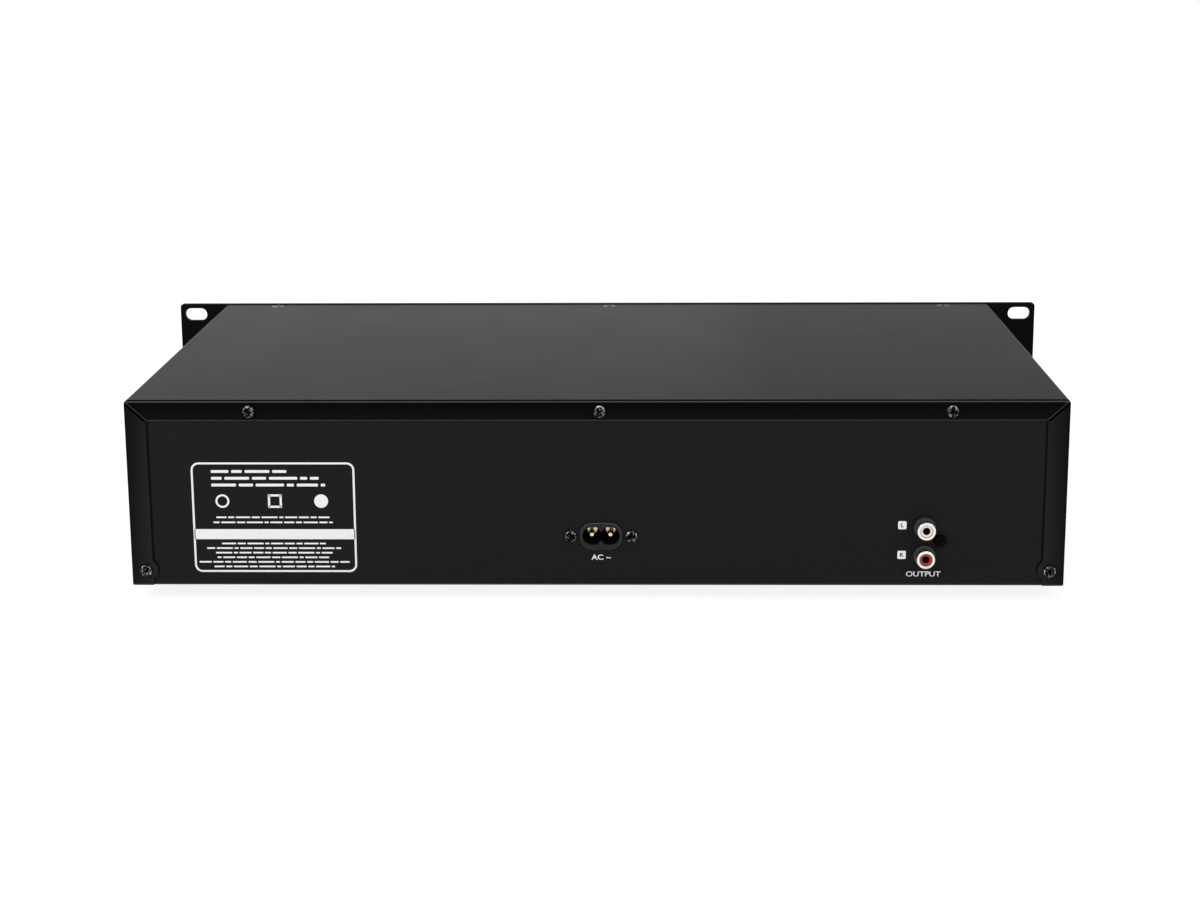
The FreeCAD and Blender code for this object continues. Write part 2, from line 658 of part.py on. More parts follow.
def is_lip_edge(edge):
    """True for the long inner edges of the lips, on their outside."""
    box = edge.BoundBox
    on_rear = box.YMin > BODY_D - 1e-6
    along_top = abs(box.ZMax - TOP_Z + LIP_TOP) < 1e-6 and box.ZLength < 1e-6
    along_side = abs(abs(box.XMin) - BODY_W / 2 + LIP_SIDE) < 1e-6 and box.XLength < 1e-6
    return on_rear and edge.Length > 2 * LOBE_R and (along_top or along_side)


def vent_slots():
    """Two rows of slots in the floor, under the decks."""
    slots = []
    for x in DECK_CENTRE.values():
        for n in range(VENT_COUNT):
            offset = (n - (VENT_COUNT - 1) / 2) * VENT_PITCH
            slots.append(plate_z(VENT_W, VENT_L, VENT_W / 2, x + offset, BODY_D / 2,
                                 BOTTOM_Z - CUT, FLOOR_Z + CUT))
    return slots


def bottom_chassis():
    """Floor, low side flanges, rear wall and front wall with a flange for the cover, in one sheet."""
    top = TOP_Z - SHEET
    outer = slab(-CHASSIS_HALF, CHASSIS_HALF, 0, WALL_REAR_Y, BOTTOM_Z, top)

    def is_folded(a, b):
        return max(a.y, b.y) > SHEET
    outer = outer.makeFillet(BEND_R, edges_where(outer, is_folded))
    half = CHASSIS_HALF - SHEET
    hollow = [slab(-half, half, SHEET, WALL_FRONT_Y, FLOOR_Z, top - SHEET)]
    hollow.append(slab(-half, half, TOP_FLANGE_D, WALL_FRONT_Y, FLOOR_Z, top + CUT))
    far = BODY_W
    hollow.append(slab(-far, far, SHEET, WALL_FRONT_Y, BOTTOM_Z + SIDE_FLANGE_H, top - SHEET))
    hollow.append(slab(-far, far, TOP_FLANGE_D, WALL_FRONT_Y, BOTTOM_Z + SIDE_FLANGE_H, top + CUT))
    shell = cut(outer, hollow)
    y0, y1 = -CUT, SHEET + CUT
    cutters = vent_slots()
    for deck in DECKS:
        x = DECK_CENTRE[deck]
        mouth_w = TRAY_FRONT_W + 2 * MOUTH_SIDE
        mouth_h = TRAY_FRONT_H + 2 * MOUTH_RISE
        cutters.append(plate_y(mouth_w, mouth_h, TRAY_FRONT_CORNER_R, x, TRAY_FRONT_Z, y0, y1))
        left = x + WINDOW_U - WINDOW_W / 2 - WINDOW_FLANGE - FRONT_WALL_ROOM
        right = x + SLIDER_U + SLIDER_KNOB_W / 2 + FRONT_WALL_ROOM
        low = SLIDER_Z - FADER_L / 2 - FRONT_WALL_ROOM
        cutters.append(slab(left, right, y0, y1, low, CONTROL_BOARD_TOP))
    for name, x, z, width, height in key_sites():
        if name.startswith(("open", "power")):
            room = 2 * (KEY_GAP + KEY_FLANGE + KEY_FLANGE_ROOM)
            cutters.append(slab(x - (width + room) / 2, x + (width + room) / 2, y0, y1,
                                z - (height + room) / 2, z + (height + room) / 2))
    half_w = FADER_L / 2 + FRONT_WALL_ROOM
    half_h = FADER_W / 2 + FRONT_WALL_ROOM
    cutters.append(slab(-half_w, half_w, y0, y1, CROSSFADER_Z - half_h, CROSSFADER_Z + half_h))
    cutters.append(plate_y(INLET_W + 2 * FIT, INLET_H + 2 * FIT, INLET_CORNER_R + FIT, INLET_X, INLET_Z,
                           WALL_FRONT_Y - CUT, WALL_REAR_Y + CUT))
    for z in PHONO_SOCKETS.values():
        cutters.append(rod_y(PHONO_COLLAR_R + FIT, PHONO_X, WALL_FRONT_Y - CUT, WALL_REAR_Y + CUT, z))
    rear = REAR_SCREWS + LOBE_SCREWS + INLET_SCREWS + [PHONO_SCREW]
    cutters += [screw_hole(V(x, WALL_REAR_Y, z), -Y_AXIS, 2 * SHEET) for x, z in rear]
    cutters += [sink_hole(V(x, -PANEL_T, z), Y_AXIS) for x, z in PANEL_SCREWS]
    cutters += [sink_hole(V(x, y, TOP_Z), -Z_AXIS) for x, y in TOP_SCREWS]
    cutters += [screw_hole(V(x, y, BOTTOM_Z), Z_AXIS, 2 * SHEET) for x, y in FEET + LEGS]
    return cut(shell, cutters)


def feet():
    shapes = []
    for x, y in FEET:
        foot = Part.makeCone(FOOT_R - FOOT_TAPER, FOOT_R, FOOT_H, V(x, y, BOTTOM_Z - FOOT_H), Z_AXIS)
        well = rod_z(FOOT_WELL_R, x, y, BOTTOM_Z - FOOT_H - CUT, BOTTOM_Z - FOOT_H + FOOT_WELL_DEPTH)
        bore = rod_z(SCREW_R + SCREW_CLEAR, x, y, BOTTOM_Z - FOOT_H, BOTTOM_Z + CUT)
        shapes.append(cut(foot, [well, bore]))
    return shapes


def rear_screws():
    """Cover, inlet and socket screws: the cover's sit on its lips, the others on the wall."""
    on_lips = [pan_screw(V(x, BODY_D, z), -Y_AXIS) for x, z in REAR_SCREWS + LOBE_SCREWS]
    on_wall = [pan_screw(V(x, WALL_REAR_Y, z), -Y_AXIS) for x, z in INLET_SCREWS + [PHONO_SCREW]]
    return on_lips + on_wall


def countersunk_screws():
    in_cover = [sink_screw(V(x, y, TOP_Z), -Z_AXIS) for x, y in TOP_SCREWS]
    in_panel = [sink_screw(V(x, -PANEL_T, z), Y_AXIS) for x, z in PANEL_SCREWS]
    return in_cover + in_panel


def chassis_screws():
    """Screws of the feet and the deck legs from below, and of boards and bridges from inside."""
    foot_seat = BOTTOM_Z - FOOT_H + FOOT_WELL_DEPTH
    from_below = [pan_screw(V(x, y, foot_seat), Z_AXIS) for x, y in FEET]
    from_below += [pan_screw(V(x, y, BOTTOM_Z), Z_AXIS, LEG_BORE_L) for x, y in LEGS]
    inside = [pan_screw(V(x, y, STUD_TOP_Z + BOARD_T), -Z_AXIS) for x, y in stud_places()]
    inside += [pan_screw(V(x, CONTROL_BOARD_Y + BOARD_T, z), -Y_AXIS) for x, z in control_studs()]
    for deck in DECKS:
        inside += [pan_screw(V(x, y, FRAME_TOP_Z + BRIDGE_T), -Z_AXIS) for x, y in bridge_screw_places(deck)]
    return from_below + inside


# ---- rear connectors ---------------------------------------------------------------------
def mains_inlet():
    """Two-pin inlet: a shroud through the wall, with a flange behind it."""
    x = INLET_X
    rear = WALL_REAR_Y + INLET_PROUD
    front = WALL_FRONT_Y - INLET_BODY_D
    shroud = plate_y(INLET_W, INLET_H, INLET_CORNER_R, x, INLET_Z, front, rear)
    rim = [edge for edge in shroud.Edges if abs(edge.BoundBox.YMin - rear) < 1e-6]
    shroud = shroud.makeFillet(INLET_RIM_R, rim)
    flange = plate_y(INLET_FLANGE_W, INLET_FLANGE_H, INLET_FLANGE_R, x, INLET_Z,
                     WALL_FRONT_Y - INLET_FLANGE_T, WALL_FRONT_Y)
    floor_y = rear - INLET_CAVITY_DEPTH
    cavity = plate_y(INLET_CAVITY_W, INLET_CAVITY_H, INLET_CAVITY_R, x, INLET_Z, floor_y, rear + CUT)
    ridges = []
    for side in SIDES:
        z = INLET_Z + side * INLET_CAVITY_H / 2
        points = [V(x - INLET_RIDGE, floor_y, z), V(x + INLET_RIDGE, floor_y, z),
                  V(x, floor_y, z - side * INLET_RIDGE)]
        ridge = Part.Face(Part.makePolygon(points + points[:1]))
        ridges.append(ridge.extrude(V(0, rear + CUT - floor_y, 0)))
    body = fuse([shroud, flange])
    body = cut(body, [cut(cavity, ridges)])
    cutters = [screw_hole(V(sx, WALL_REAR_Y, sz), -Y_AXIS, SCREW_L + SHEET) for sx, sz in INLET_SCREWS]
    for side in SIDES:
        cutters.append(rod_y(PIN_R, x + side * PIN_PITCH / 2, floor_y - PIN_BACK, floor_y + CUT, INLET_Z))
    return cut(body, cutters)


def inlet_pins():
    """Round pins, each with a collar on the floor of the inlet's cavity."""
    floor_y = WALL_REAR_Y + INLET_PROUD - INLET_CAVITY_DEPTH
    shapes = []
    for side in SIDES:
        x = INLET_X + side * PIN_PITCH / 2
        pin = rod_y(PIN_R, x, floor_y - PIN_BACK, floor_y + PIN_L, INLET_Z)
        tip = [edge for edge in pin.Edges if abs(edge.BoundBox.YMin - floor_y - PIN_L) < 1e-6]
        collar = rod_y(PIN_COLLAR_R, x, floor_y, floor_y + PIN_COLLAR_T, INLET_Z)
        shapes.append(fuse([pin.makeFillet(PIN_TIP_R, tip), collar]))
    return shapes


def phono_block():
    """Black moulding with a collar for each socket and a lug for its screw."""
    inner = PHONO_X + PHONO_BLOCK_L
    outer = PHONO_SCREW[0] - PAN_HEAD_R - PHONO_LUG_ROOM
    y0 = WALL_FRONT_Y - PHONO_BLOCK_D
    block = slab(outer, inner, y0, WALL_FRONT_Y, STUD_TOP_Z + BOARD_T, PHONO_Z + PHONO_BLOCK_RISE)
    collars = [rod_y(PHONO_COLLAR_R, PHONO_X, WALL_FRONT_Y - CUT, WALL_REAR_Y + PHONO_COLLAR_L, z)
               for z in PHONO_SOCKETS.values()]
    body = fuse([block] + collars)
    tip = WALL_REAR_Y + PHONO_PROUD
    cutters = [rod_y(PHONO_STEM_R + PHONO_FIT, PHONO_X, y0 + PHONO_BLOCK_WALL, tip, z)
               for z in PHONO_SOCKETS.values()]
    cutters.append(screw_hole(V(PHONO_SCREW[0], WALL_REAR_Y, PHONO_SCREW[1]), -Y_AXIS, SCREW_L + SHEET))
    return cut(body, cutters)


def phono_shells():
    """Plated sleeves, full width where a plug goes on and narrower inside the block."""
    y0 = WALL_FRONT_Y - PHONO_BLOCK_D + PHONO_BLOCK_WALL
    collar_y = WALL_REAR_Y + PHONO_COLLAR_L
    tip = WALL_REAR_Y + PHONO_PROUD
    shapes = []
    for z in PHONO_SOCKETS.values():
        outside = rod_y(PHONO_SHELL_R, PHONO_X, collar_y, tip, z)
        rim = [edge for edge in outside.Edges if abs(edge.BoundBox.YMin - tip) < 1e-6]
        outside = outside.makeFillet(PHONO_RIM_R, rim)
        inside = rod_y(PHONO_STEM_R, PHONO_X, y0, collar_y, z)
        bore = rod_y(PHONO_SHELL_R - PHONO_SHELL_T, PHONO_X, y0 - CUT, tip + CUT, z)
        shapes.append(outside.fuse(inside).cut(bore))
    return shapes


def phono_insert(colour):
    z = PHONO_SOCKETS[colour]
    y0 = WALL_FRONT_Y - PHONO_BLOCK_D + PHONO_BLOCK_WALL
    y1 = WALL_REAR_Y + PHONO_PROUD - PHONO_INSERT_SET
    plug = rod_y(PHONO_SHELL_R - PHONO_SHELL_T - PHONO_FIT, PHONO_X, y0, y1, z)
    return plug.cut(rod_y(PHONO_HOLE_R, PHONO_X, y0 + PHONO_HOLE_FLOOR, y1 + CUT, z))


# ---- keys, wheels and sliders ------------------------------------------------------------
def key(x, z, width, height):
    """Cap with a retaining flange behind the panel and a stem that stands in its switch."""
    front = -PANEL_T - KEY_PROUD
    cap = plate_y(width, height, KEY_CORNER_R, x, z, front, KEY_GAP)
    rim = [edge for edge in cap.Edges if abs(edge.BoundBox.YMax - front) < 1e-6]
    cap = cap.makeChamfer(KEY_EDGE, rim)
    flange = plate_y(width + 2 * KEY_FLANGE, height + 2 * KEY_FLANGE, KEY_CORNER_R, x, z,
                     KEY_GAP, KEY_GAP + KEY_FLANGE_T)
    stem = rod_y(KEY_STEM_R, x, KEY_GAP + KEY_FLANGE_T / 2, KEY_STEM_END_Y, z)
    return fuse([cap, flange, stem])


def jog_wheel(deck):
    """Wheel with finger grips round its edge, a dimple on its face and its shaft."""
    x = DECK_CENTRE[deck] + JOG_U
    rear = -PANEL_T - JOG_GAP
    front = rear - JOG_T
    wheel = rod_y(JOG_R, x, front, rear, JOG_Z)
    rim = [edge for edge in wheel.Edges if abs(edge.BoundBox.YMax - front) < 1e-6]
    wheel = wheel.makeChamfer(JOG_EDGE, rim)
    cutters = []
    for n in range(JOG_GRIPS):
        a = 2 * math.pi * n / JOG_GRIPS
        reach = JOG_R + JOG_GRIP_OUT
        grip_x, grip_z = x + reach * math.cos(a), JOG_Z + reach * math.sin(a)
        cutters.append(rod_y(JOG_GRIP_R, grip_x, front - CUT, rear + CUT, grip_z))
    groove_r = JOG_R - JOG_GROOVE_INSET
    groove_y = front + JOG_GROOVE_DEPTH
    cutters.append(rod_y(groove_r, x, front - CUT, groove_y, JOG_Z))
    face = rod_y(groove_r - JOG_GROOVE_W, x, front + JOG_FACE_SET, groove_y + CUT, JOG_Z)
    dimple_y = front + JOG_DIMPLE_DEPTH - JOG_DIMPLE_R
    dimple = Part.makeSphere(JOG_DIMPLE_R, V(x, dimple_y, JOG_Z + JOG_DIMPLE_OUT))
    shaft = rod_y(JOG_SHAFT_R, x, rear - CUT, CONTROL_BOARD_Y - JOG_SHAFT_SET, JOG_Z)
    return fuse([cut(wheel, cutters).fuse(face).cut(dimple), shaft])


def slider_knob(x, z, upright):
    """Grooved cap on a flat lever that runs in the slot."""
    rear = -PANEL_T - SLIDER_KNOB_GAP
    front = rear - SLIDER_KNOB_T
    foot, top, mark = SLIDER_KNOB_L / 2, SLIDER_KNOB_TOP_L / 2, SLIDER_MARK_W / 2
    points = [(-foot, rear), (-top, front), (-mark, front), (0, front + SLIDER_MARK_DEPTH), (mark, front),
              (top, front), (foot, rear)]
    knob = Part.Face(Part.makePolygon([V(u, y, -SLIDER_KNOB_W / 2) for u, y in points + points[:1]]))
    knob = knob.extrude(V(0, 0, SLIDER_KNOB_W))
    lever_end = CONTROL_BOARD_Y - FADER_T + FADER_SLOT_DEPTH - SLIDER_LEVER_GAP
    lever = slab(-SLIDER_LEVER_W / 2, SLIDER_LEVER_W / 2, rear - CUT, lever_end,
                 -SLIDER_LEVER_T / 2, SLIDER_LEVER_T / 2)
    whole = fuse([knob, lever])
    if upright:
        whole.rotate(V(), Y_AXIS, 90)
    whole.translate(V(x, 0, z))
    return whole


def display_windows():
    """Clear panes, flush in the panel and held by a rim behind it."""
    panes = []
    for x in DECK_CENTRE.values():
        u = x + WINDOW_U
        pane = plate_y(WINDOW_W - 2 * FIT, WINDOW_H - 2 * FIT, WINDOW_CORNER_R - FIT, u, WINDOW_Z,
                       -PANEL_T + FIT, WINDOW_FLANGE_T / 2)
        rim = plate_y(WINDOW_W + 2 * WINDOW_FLANGE, WINDOW_H + 2 * WINDOW_FLANGE, WINDOW_CORNER_R,
                      u, WINDOW_Z, 0, WINDOW_FLANGE_T)
        panes.append(fuse([pane, rim]))
    return panes


def display_modules():
    """Glass display with a bezel, between the window and the board."""
    modules = []
    for x in DECK_CENTRE.values():
        u = x + WINDOW_U
        y0 = WINDOW_FLANGE_T
        bezel = plate_y(WINDOW_W, WINDOW_H, DISPLAY_CORNER_R, u, WINDOW_Z, y0, CONTROL_BOARD_Y)
        well = plate_y(WINDOW_W - 2 * DISPLAY_LIP, WINDOW_H - 2 * DISPLAY_LIP, DISPLAY_CORNER_R, u, WINDOW_Z,
                       y0 - CUT, y0 + DISPLAY_BEZEL)
        modules.append(bezel.cut(well))
    return modules


def control_board():
    """Board behind the controls, with an ear up to each tray key and to the power key."""
    y0, y1 = CONTROL_BOARD_Y, CONTROL_BOARD_Y + BOARD_T
    half = BODY_W / 2 - CONTROL_BOARD_INSET
    pieces = [slab(-half, half, y0, y1, FLOOR_Z + CONTROL_BOARD_RISE, CONTROL_BOARD_TOP)]
    for x in (-OPEN_KEY_X, 0.0, OPEN_KEY_X):
        pieces.append(slab(x - CONTROL_BOARD_EAR_W / 2, x + CONTROL_BOARD_EAR_W / 2, y0, y1,
                           CONTROL_BOARD_TOP - CUT, CONTROL_BOARD_EAR_TOP))
    holes = [screw_hole(V(x, y1, z), -Y_AXIS, BOARD_T + CUT) for x, z in control_studs()]
    return cut(fuse(pieces), holes)


def control_switches():
    """Key switches, wheel encoders and slide faders, all on the control board."""
    y1 = CONTROL_BOARD_Y
    parts = []
    for _, x, z, _, _ in key_sites():
        half = SWITCH_SIZE / 2
        body = slab(x - half, x + half, SWITCH_FRONT_Y, y1, z - half, z + half)
        well = rod_y(SWITCH_HOLE_R, x, SWITCH_FRONT_Y - CUT, KEY_STEM_END_Y + KEY_TRAVEL + SWITCH_ROOM, z)
        parts.append(body.cut(well))
    for x in DECK_CENTRE.values():
        u = x + JOG_U
        half = ENCODER_SIZE / 2
        body = slab(u - half, u + half, y1 - ENCODER_T, y1, JOG_Z - half, JOG_Z + half)
        bore = rod_y(JOG_SHAFT_R + JOG_SHAFT_FIT, u, y1 - ENCODER_T - CUT, y1 - ENCODER_FLOOR, JOG_Z)
        parts.append(body.cut(bore))
    for _, x, z, upright in slider_sites():
        length, width = (FADER_W, FADER_L) if upright else (FADER_L, FADER_W)
        body = slab(x - length / 2, x + length / 2, y1 - FADER_T, y1, z - width / 2, z + width / 2)
        track = slot_y(SLIDER_SLOT_L, SLIDER_SLOT_W, x, z, upright,
                       y1 - FADER_T - CUT, y1 - FADER_T + FADER_SLOT_DEPTH)
        parts.append(body.cut(track))
    return parts


# ---- disc trays --------------------------------------------------------------------------
def rack_teeth(x):
    """Rack under the tray, its teeth towards the deck's middle, with a space on the pinion's centre."""
    y0 = GEAR_Y - 1.5 * TOOTH_PITCH
    count = int((TRAY_TRAVEL + 3 * TOOTH_PITCH) / TOOTH_PITCH)
    pitch_x = x + GEAR_U + PITCH_R
    tip = pitch_x - ADDENDUM
    root = pitch_x + DEDENDUM
    half_tooth = TOOTH_PITCH / 4 - BACKLASH / 4
    slope = math.tan(PRESSURE_ANGLE)
    outline = [(root, y0 - TOOTH_PITCH / 2)]
    for n in range(count):
        y = GEAR_Y + (n - 1) * TOOTH_PITCH - TOOTH_PITCH / 2
        outline.append((root, y - half_tooth - DEDENDUM * slope))
        outline.append((tip, y - half_tooth + ADDENDUM * slope))
        outline.append((tip, y + half_tooth - ADDENDUM * slope))
        outline.append((root, y + half_tooth + DEDENDUM * slope))
    last = GEAR_Y + (count - 1) * TOOTH_PITCH
    outline += [(root, last), (root + RACK_BACK, last), (root + RACK_BACK, y0 - TOOTH_PITCH / 2)]
    return polygon_z(outline, TRAY_Z - RACK_H, TRAY_Z + SINK)


def tray(deck):
    """Moulded tray: two disc recesses, the opening for spindle and pickup, side flanges and the rack."""
    x = DECK_CENTRE[deck]
    length = TRAY_REAR_Y - TRAY_FRONT_Y
    mid_y = (TRAY_REAR_Y + TRAY_FRONT_Y) / 2
    plate = plate_z(TRAY_W, length, TRAY_CORNER_R, x, mid_y, TRAY_Z, TRAY_TOP_Z)
    tongues = [slab(x + side * TONGUE_X - TONGUE_W / 2, x + side * TONGUE_X + TONGUE_W / 2,
                    TRAY_FRONT_Y - TONGUE_L, TRAY_FRONT_Y + CUT,
                    TRAY_Z + TRAY_T / 2 - TONGUE_T / 2, TRAY_Z + TRAY_T / 2 + TONGUE_T / 2) for side in SIDES]
    slot_l = PICKUP_SLOT_Y - DISC_Y + SPINDLE_OPENING_R
    slot = plate_z(2 * SPINDLE_OPENING_R, slot_l, SPINDLE_OPENING_R, x, PICKUP_SLOT_Y - slot_l / 2,
                   TRAY_Z - CUT, TRAY_TOP_Z + CUT)
    cutters = [rod_z(RECESS_R, x, DISC_Y, TRAY_REST_Z, TRAY_TOP_Z + CUT),
               rod_z(SMALL_RECESS_R, x, DISC_Y, TRAY_REST_Z - SMALL_RECESS_DEPTH, TRAY_TOP_Z),
               slot]
    pocket_front = DISC_Y + RECESS_R + POCKET_GAP
    pocket_rear = TRAY_REAR_Y - POCKET_RIM
    pocket_inner = SPINDLE_OPENING_R + POCKET_RIM
    pocket_outer = TRAY_W / 2 - POCKET_SIDE
    for side in SIDES:
        cutters.append(plate_z(pocket_outer - pocket_inner, pocket_rear - pocket_front, POCKET_CORNER_R,
                               x + side * (pocket_outer + pocket_inner) / 2, (pocket_rear + pocket_front) / 2,
                               TRAY_Z + POCKET_FLOOR, TRAY_TOP_Z + CUT))
    return fuse([cut(plate, cutters)] + tongues + [rack_teeth(x)])


def tray_front(deck):
    """Hollow front of the tray, with two sockets for the tray's tongues."""
    x = DECK_CENTRE[deck]
    front = -PANEL_T - TRAY_CAP_PROUD
    outer = plate_y(TRAY_FRONT_W, TRAY_FRONT_H, TRAY_FRONT_CORNER_R, x, TRAY_FRONT_Z,
                    front, TRAY_FRONT_Y)
    rim = [edge for edge in outer.Edges if abs(edge.BoundBox.YMax - front) < 1e-6]
    outer = outer.makeChamfer(TRAY_CAP_EDGE, rim)
    inner_w = TRAY_FRONT_W / 2 - TRAY_CAP_WALL
    inner_h = TRAY_FRONT_H / 2 - TRAY_CAP_WALL
    hollow = slab(x - inner_w, x + inner_w, front + TRAY_CAP_WALL, TRAY_FRONT_Y + CUT,
                  TRAY_FRONT_Z - inner_h, TRAY_FRONT_Z + inner_h)
    mid_z = TRAY_Z + TRAY_T / 2
    sockets = []
    for side in SIDES:
        centre = x + side * TONGUE_X
        half = TONGUE_W / 2 + TRAY_CAP_WALL
        tall = TONGUE_T / 2 + TRAY_CAP_WALL
        block = slab(centre - half, centre + half, front + TRAY_CAP_WALL, TRAY_FRONT_Y,
                     mid_z - tall, mid_z + tall)
        hole = slab(centre - TONGUE_W / 2 - TONGUE_FIT, centre + TONGUE_W / 2 + TONGUE_FIT,
                    TRAY_FRONT_Y - TONGUE_L - TONGUE_FIT, TRAY_FRONT_Y + CUT,
                    mid_z - TONGUE_T / 2 - TONGUE_FIT, mid_z + TONGUE_T / 2 + TONGUE_FIT)
        sockets.append(block.cut(hole))
    return fuse([outer.cut(hollow)] + sockets)


# ---- tray drive --------------------------------------------------------------------------
def pinion_outline():
    """Involute teeth, one of them centred on +X."""
    base_r = PITCH_R * math.cos(PRESSURE_ANGLE)
    root_r = PITCH_R - DEDENDUM * MODULE
    tip_r = PITCH_R + ADDENDUM * MODULE
    at_pitch = math.pi / (2 * PINION_TEETH) - BACKLASH / (4 * PITCH_R)

    def involute(r):
        a = math.acos(min(1.0, base_r / r))
        return math.tan(a) - a
    flank = [(r, at_pitch + involute(PITCH_R) - involute(r)) for r in (base_r, PITCH_R, tip_r)]
    flank = [(root_r, flank[0][1])] + flank
    points = []
    for n in range(PINION_TEETH):
        middle = 2 * math.pi * n / PINION_TEETH
        side = [(r, middle - a) for r, a in flank] + [(r, middle + a) for r, a in reversed(flank)]
        points += [(r * math.cos(a), r * math.sin(a)) for r, a in side]
    return points


def grooved_wheel(radius, groove_r, x):
    """Belt wheel with a square groove round its rim, at the belt's level."""
    wheel = rod_z(radius, x, GEAR_Y, PULLEY_Z, PULLEY_TOP_Z)
    ring = rod_z(radius + CUT, x, GEAR_Y, GROOVE_Z - GROOVE_H / 2, GROOVE_Z + GROOVE_H / 2)
    return wheel.cut(ring.cut(rod_z(groove_r, x, GEAR_Y, PULLEY_Z, PULLEY_TOP_Z)))


def pulley_gear(deck):
    """Belt pulley and pinion in one moulding, on the frame's post."""
    x = DECK_CENTRE[deck] + GEAR_U
    teeth = polygon_z(pinion_outline(), PINION_Z, PINION_TOP_Z)
    teeth.translate(V(x, GEAR_Y, 0))
    hub = rod_z(PITCH_R - DEDENDUM * MODULE, x, GEAR_Y, PULLEY_TOP_Z - SINK, PINION_Z + SINK)
    bore = rod_z(POST_R + POST_FIT, x, GEAR_Y, PULLEY_Z - CUT, PINION_TOP_Z + CUT)
    return fuse([teeth, hub, grooved_wheel(PULLEY_R, PULLEY_GROOVE_R, x)]).cut(bore)


def motor_pulley(deck):
    x = DECK_CENTRE[deck] + MOTOR_U
    bore = rod_z(MOTOR_SHAFT_R + POST_FIT, x, GEAR_Y, PULLEY_Z - CUT, PULLEY_TOP_Z + CUT)
    return grooved_wheel(MOTOR_PULLEY_R, MOTOR_GROOVE_R, x).cut(bore)


def loading_motors():
    """Motor can under the frame's front plate, its shaft up through the plate."""
    shapes = []
    for x in DECK_CENTRE.values():
        u = x + MOTOR_U
        can = rod_z(MOTOR_R, u, GEAR_Y, FRAME_PLATE_Z - MOTOR_L, FRAME_PLATE_Z)
        collar = rod_z(MOTOR_COLLAR_R, u, GEAR_Y, FRAME_PLATE_Z - CUT, FRAME_PLATE_Z + FRAME_PLATE_T)
        shaft = rod_z(MOTOR_SHAFT_R, u, GEAR_Y, FRAME_PLATE_Z, PULLEY_TOP_Z)
        shapes.append(fuse([can, collar, shaft]))
    return shapes


def belt_loop(x1, r1, x2, r2, y, z0, z1):
    """Prism over the tight loop round two circles on one level; the first is the larger."""
    span = x1 - x2
    lean = math.acos((r1 - r2) / span)
    up, low = [], []
    for cx, r in ((x1, r1), (x2, r2)):
        dx, dy = r * math.cos(lean), r * math.sin(lean)
        up.append(V(cx - dx, y + dy, z0))
        low.append(V(cx - dx, y - dy, z0))
    edges = [Part.Arc(low[0], V(x1 + r1, y, z0), up[0]).toShape(), Part.LineSegment(up[0], up[1]).toShape(),
             Part.Arc(up[1], V(x2 - r2, y, z0), low[1]).toShape(), Part.LineSegment(low[1], low[0]).toShape()]
    return Part.Face(Part.Wire(edges)).extrude(V(0, 0, z1 - z0))


def loading_belts():
    shapes = []
    for x in DECK_CENTRE.values():
        big, small = PULLEY_GROOVE_R + BELT_FIT, MOTOR_GROOVE_R + BELT_FIT
        z0, z1 = GROOVE_Z - BELT_H / 2, GROOVE_Z + BELT_H / 2
        outer = belt_loop(x + GEAR_U, big + BELT_T, x + MOTOR_U, small + BELT_T, GEAR_Y, z0, z1)
        inner = belt_loop(x + GEAR_U, big, x + MOTOR_U, small, GEAR_Y, z0 - CUT, z1 + CUT)
        shapes.append(outer.cut(inner))
    return shapes


# ---- deck frame --------------------------------------------------------------------------
def frame_window(x, y):
    """Rounded opening through both side walls, under the tray rails."""
    window = rounded_face(FRAME_WINDOW_L, FRAME_WINDOW_H, FRAME_WINDOW_R)
    window.rotate(V(), Z_AXIS, 90)
    window.rotate(V(), Y_AXIS, 90)
    window.translate(V(x - DECK_HALF, y, FRAME_WINDOW_Z))
    return window.extrude(V(2 * DECK_HALF, 0, 0))


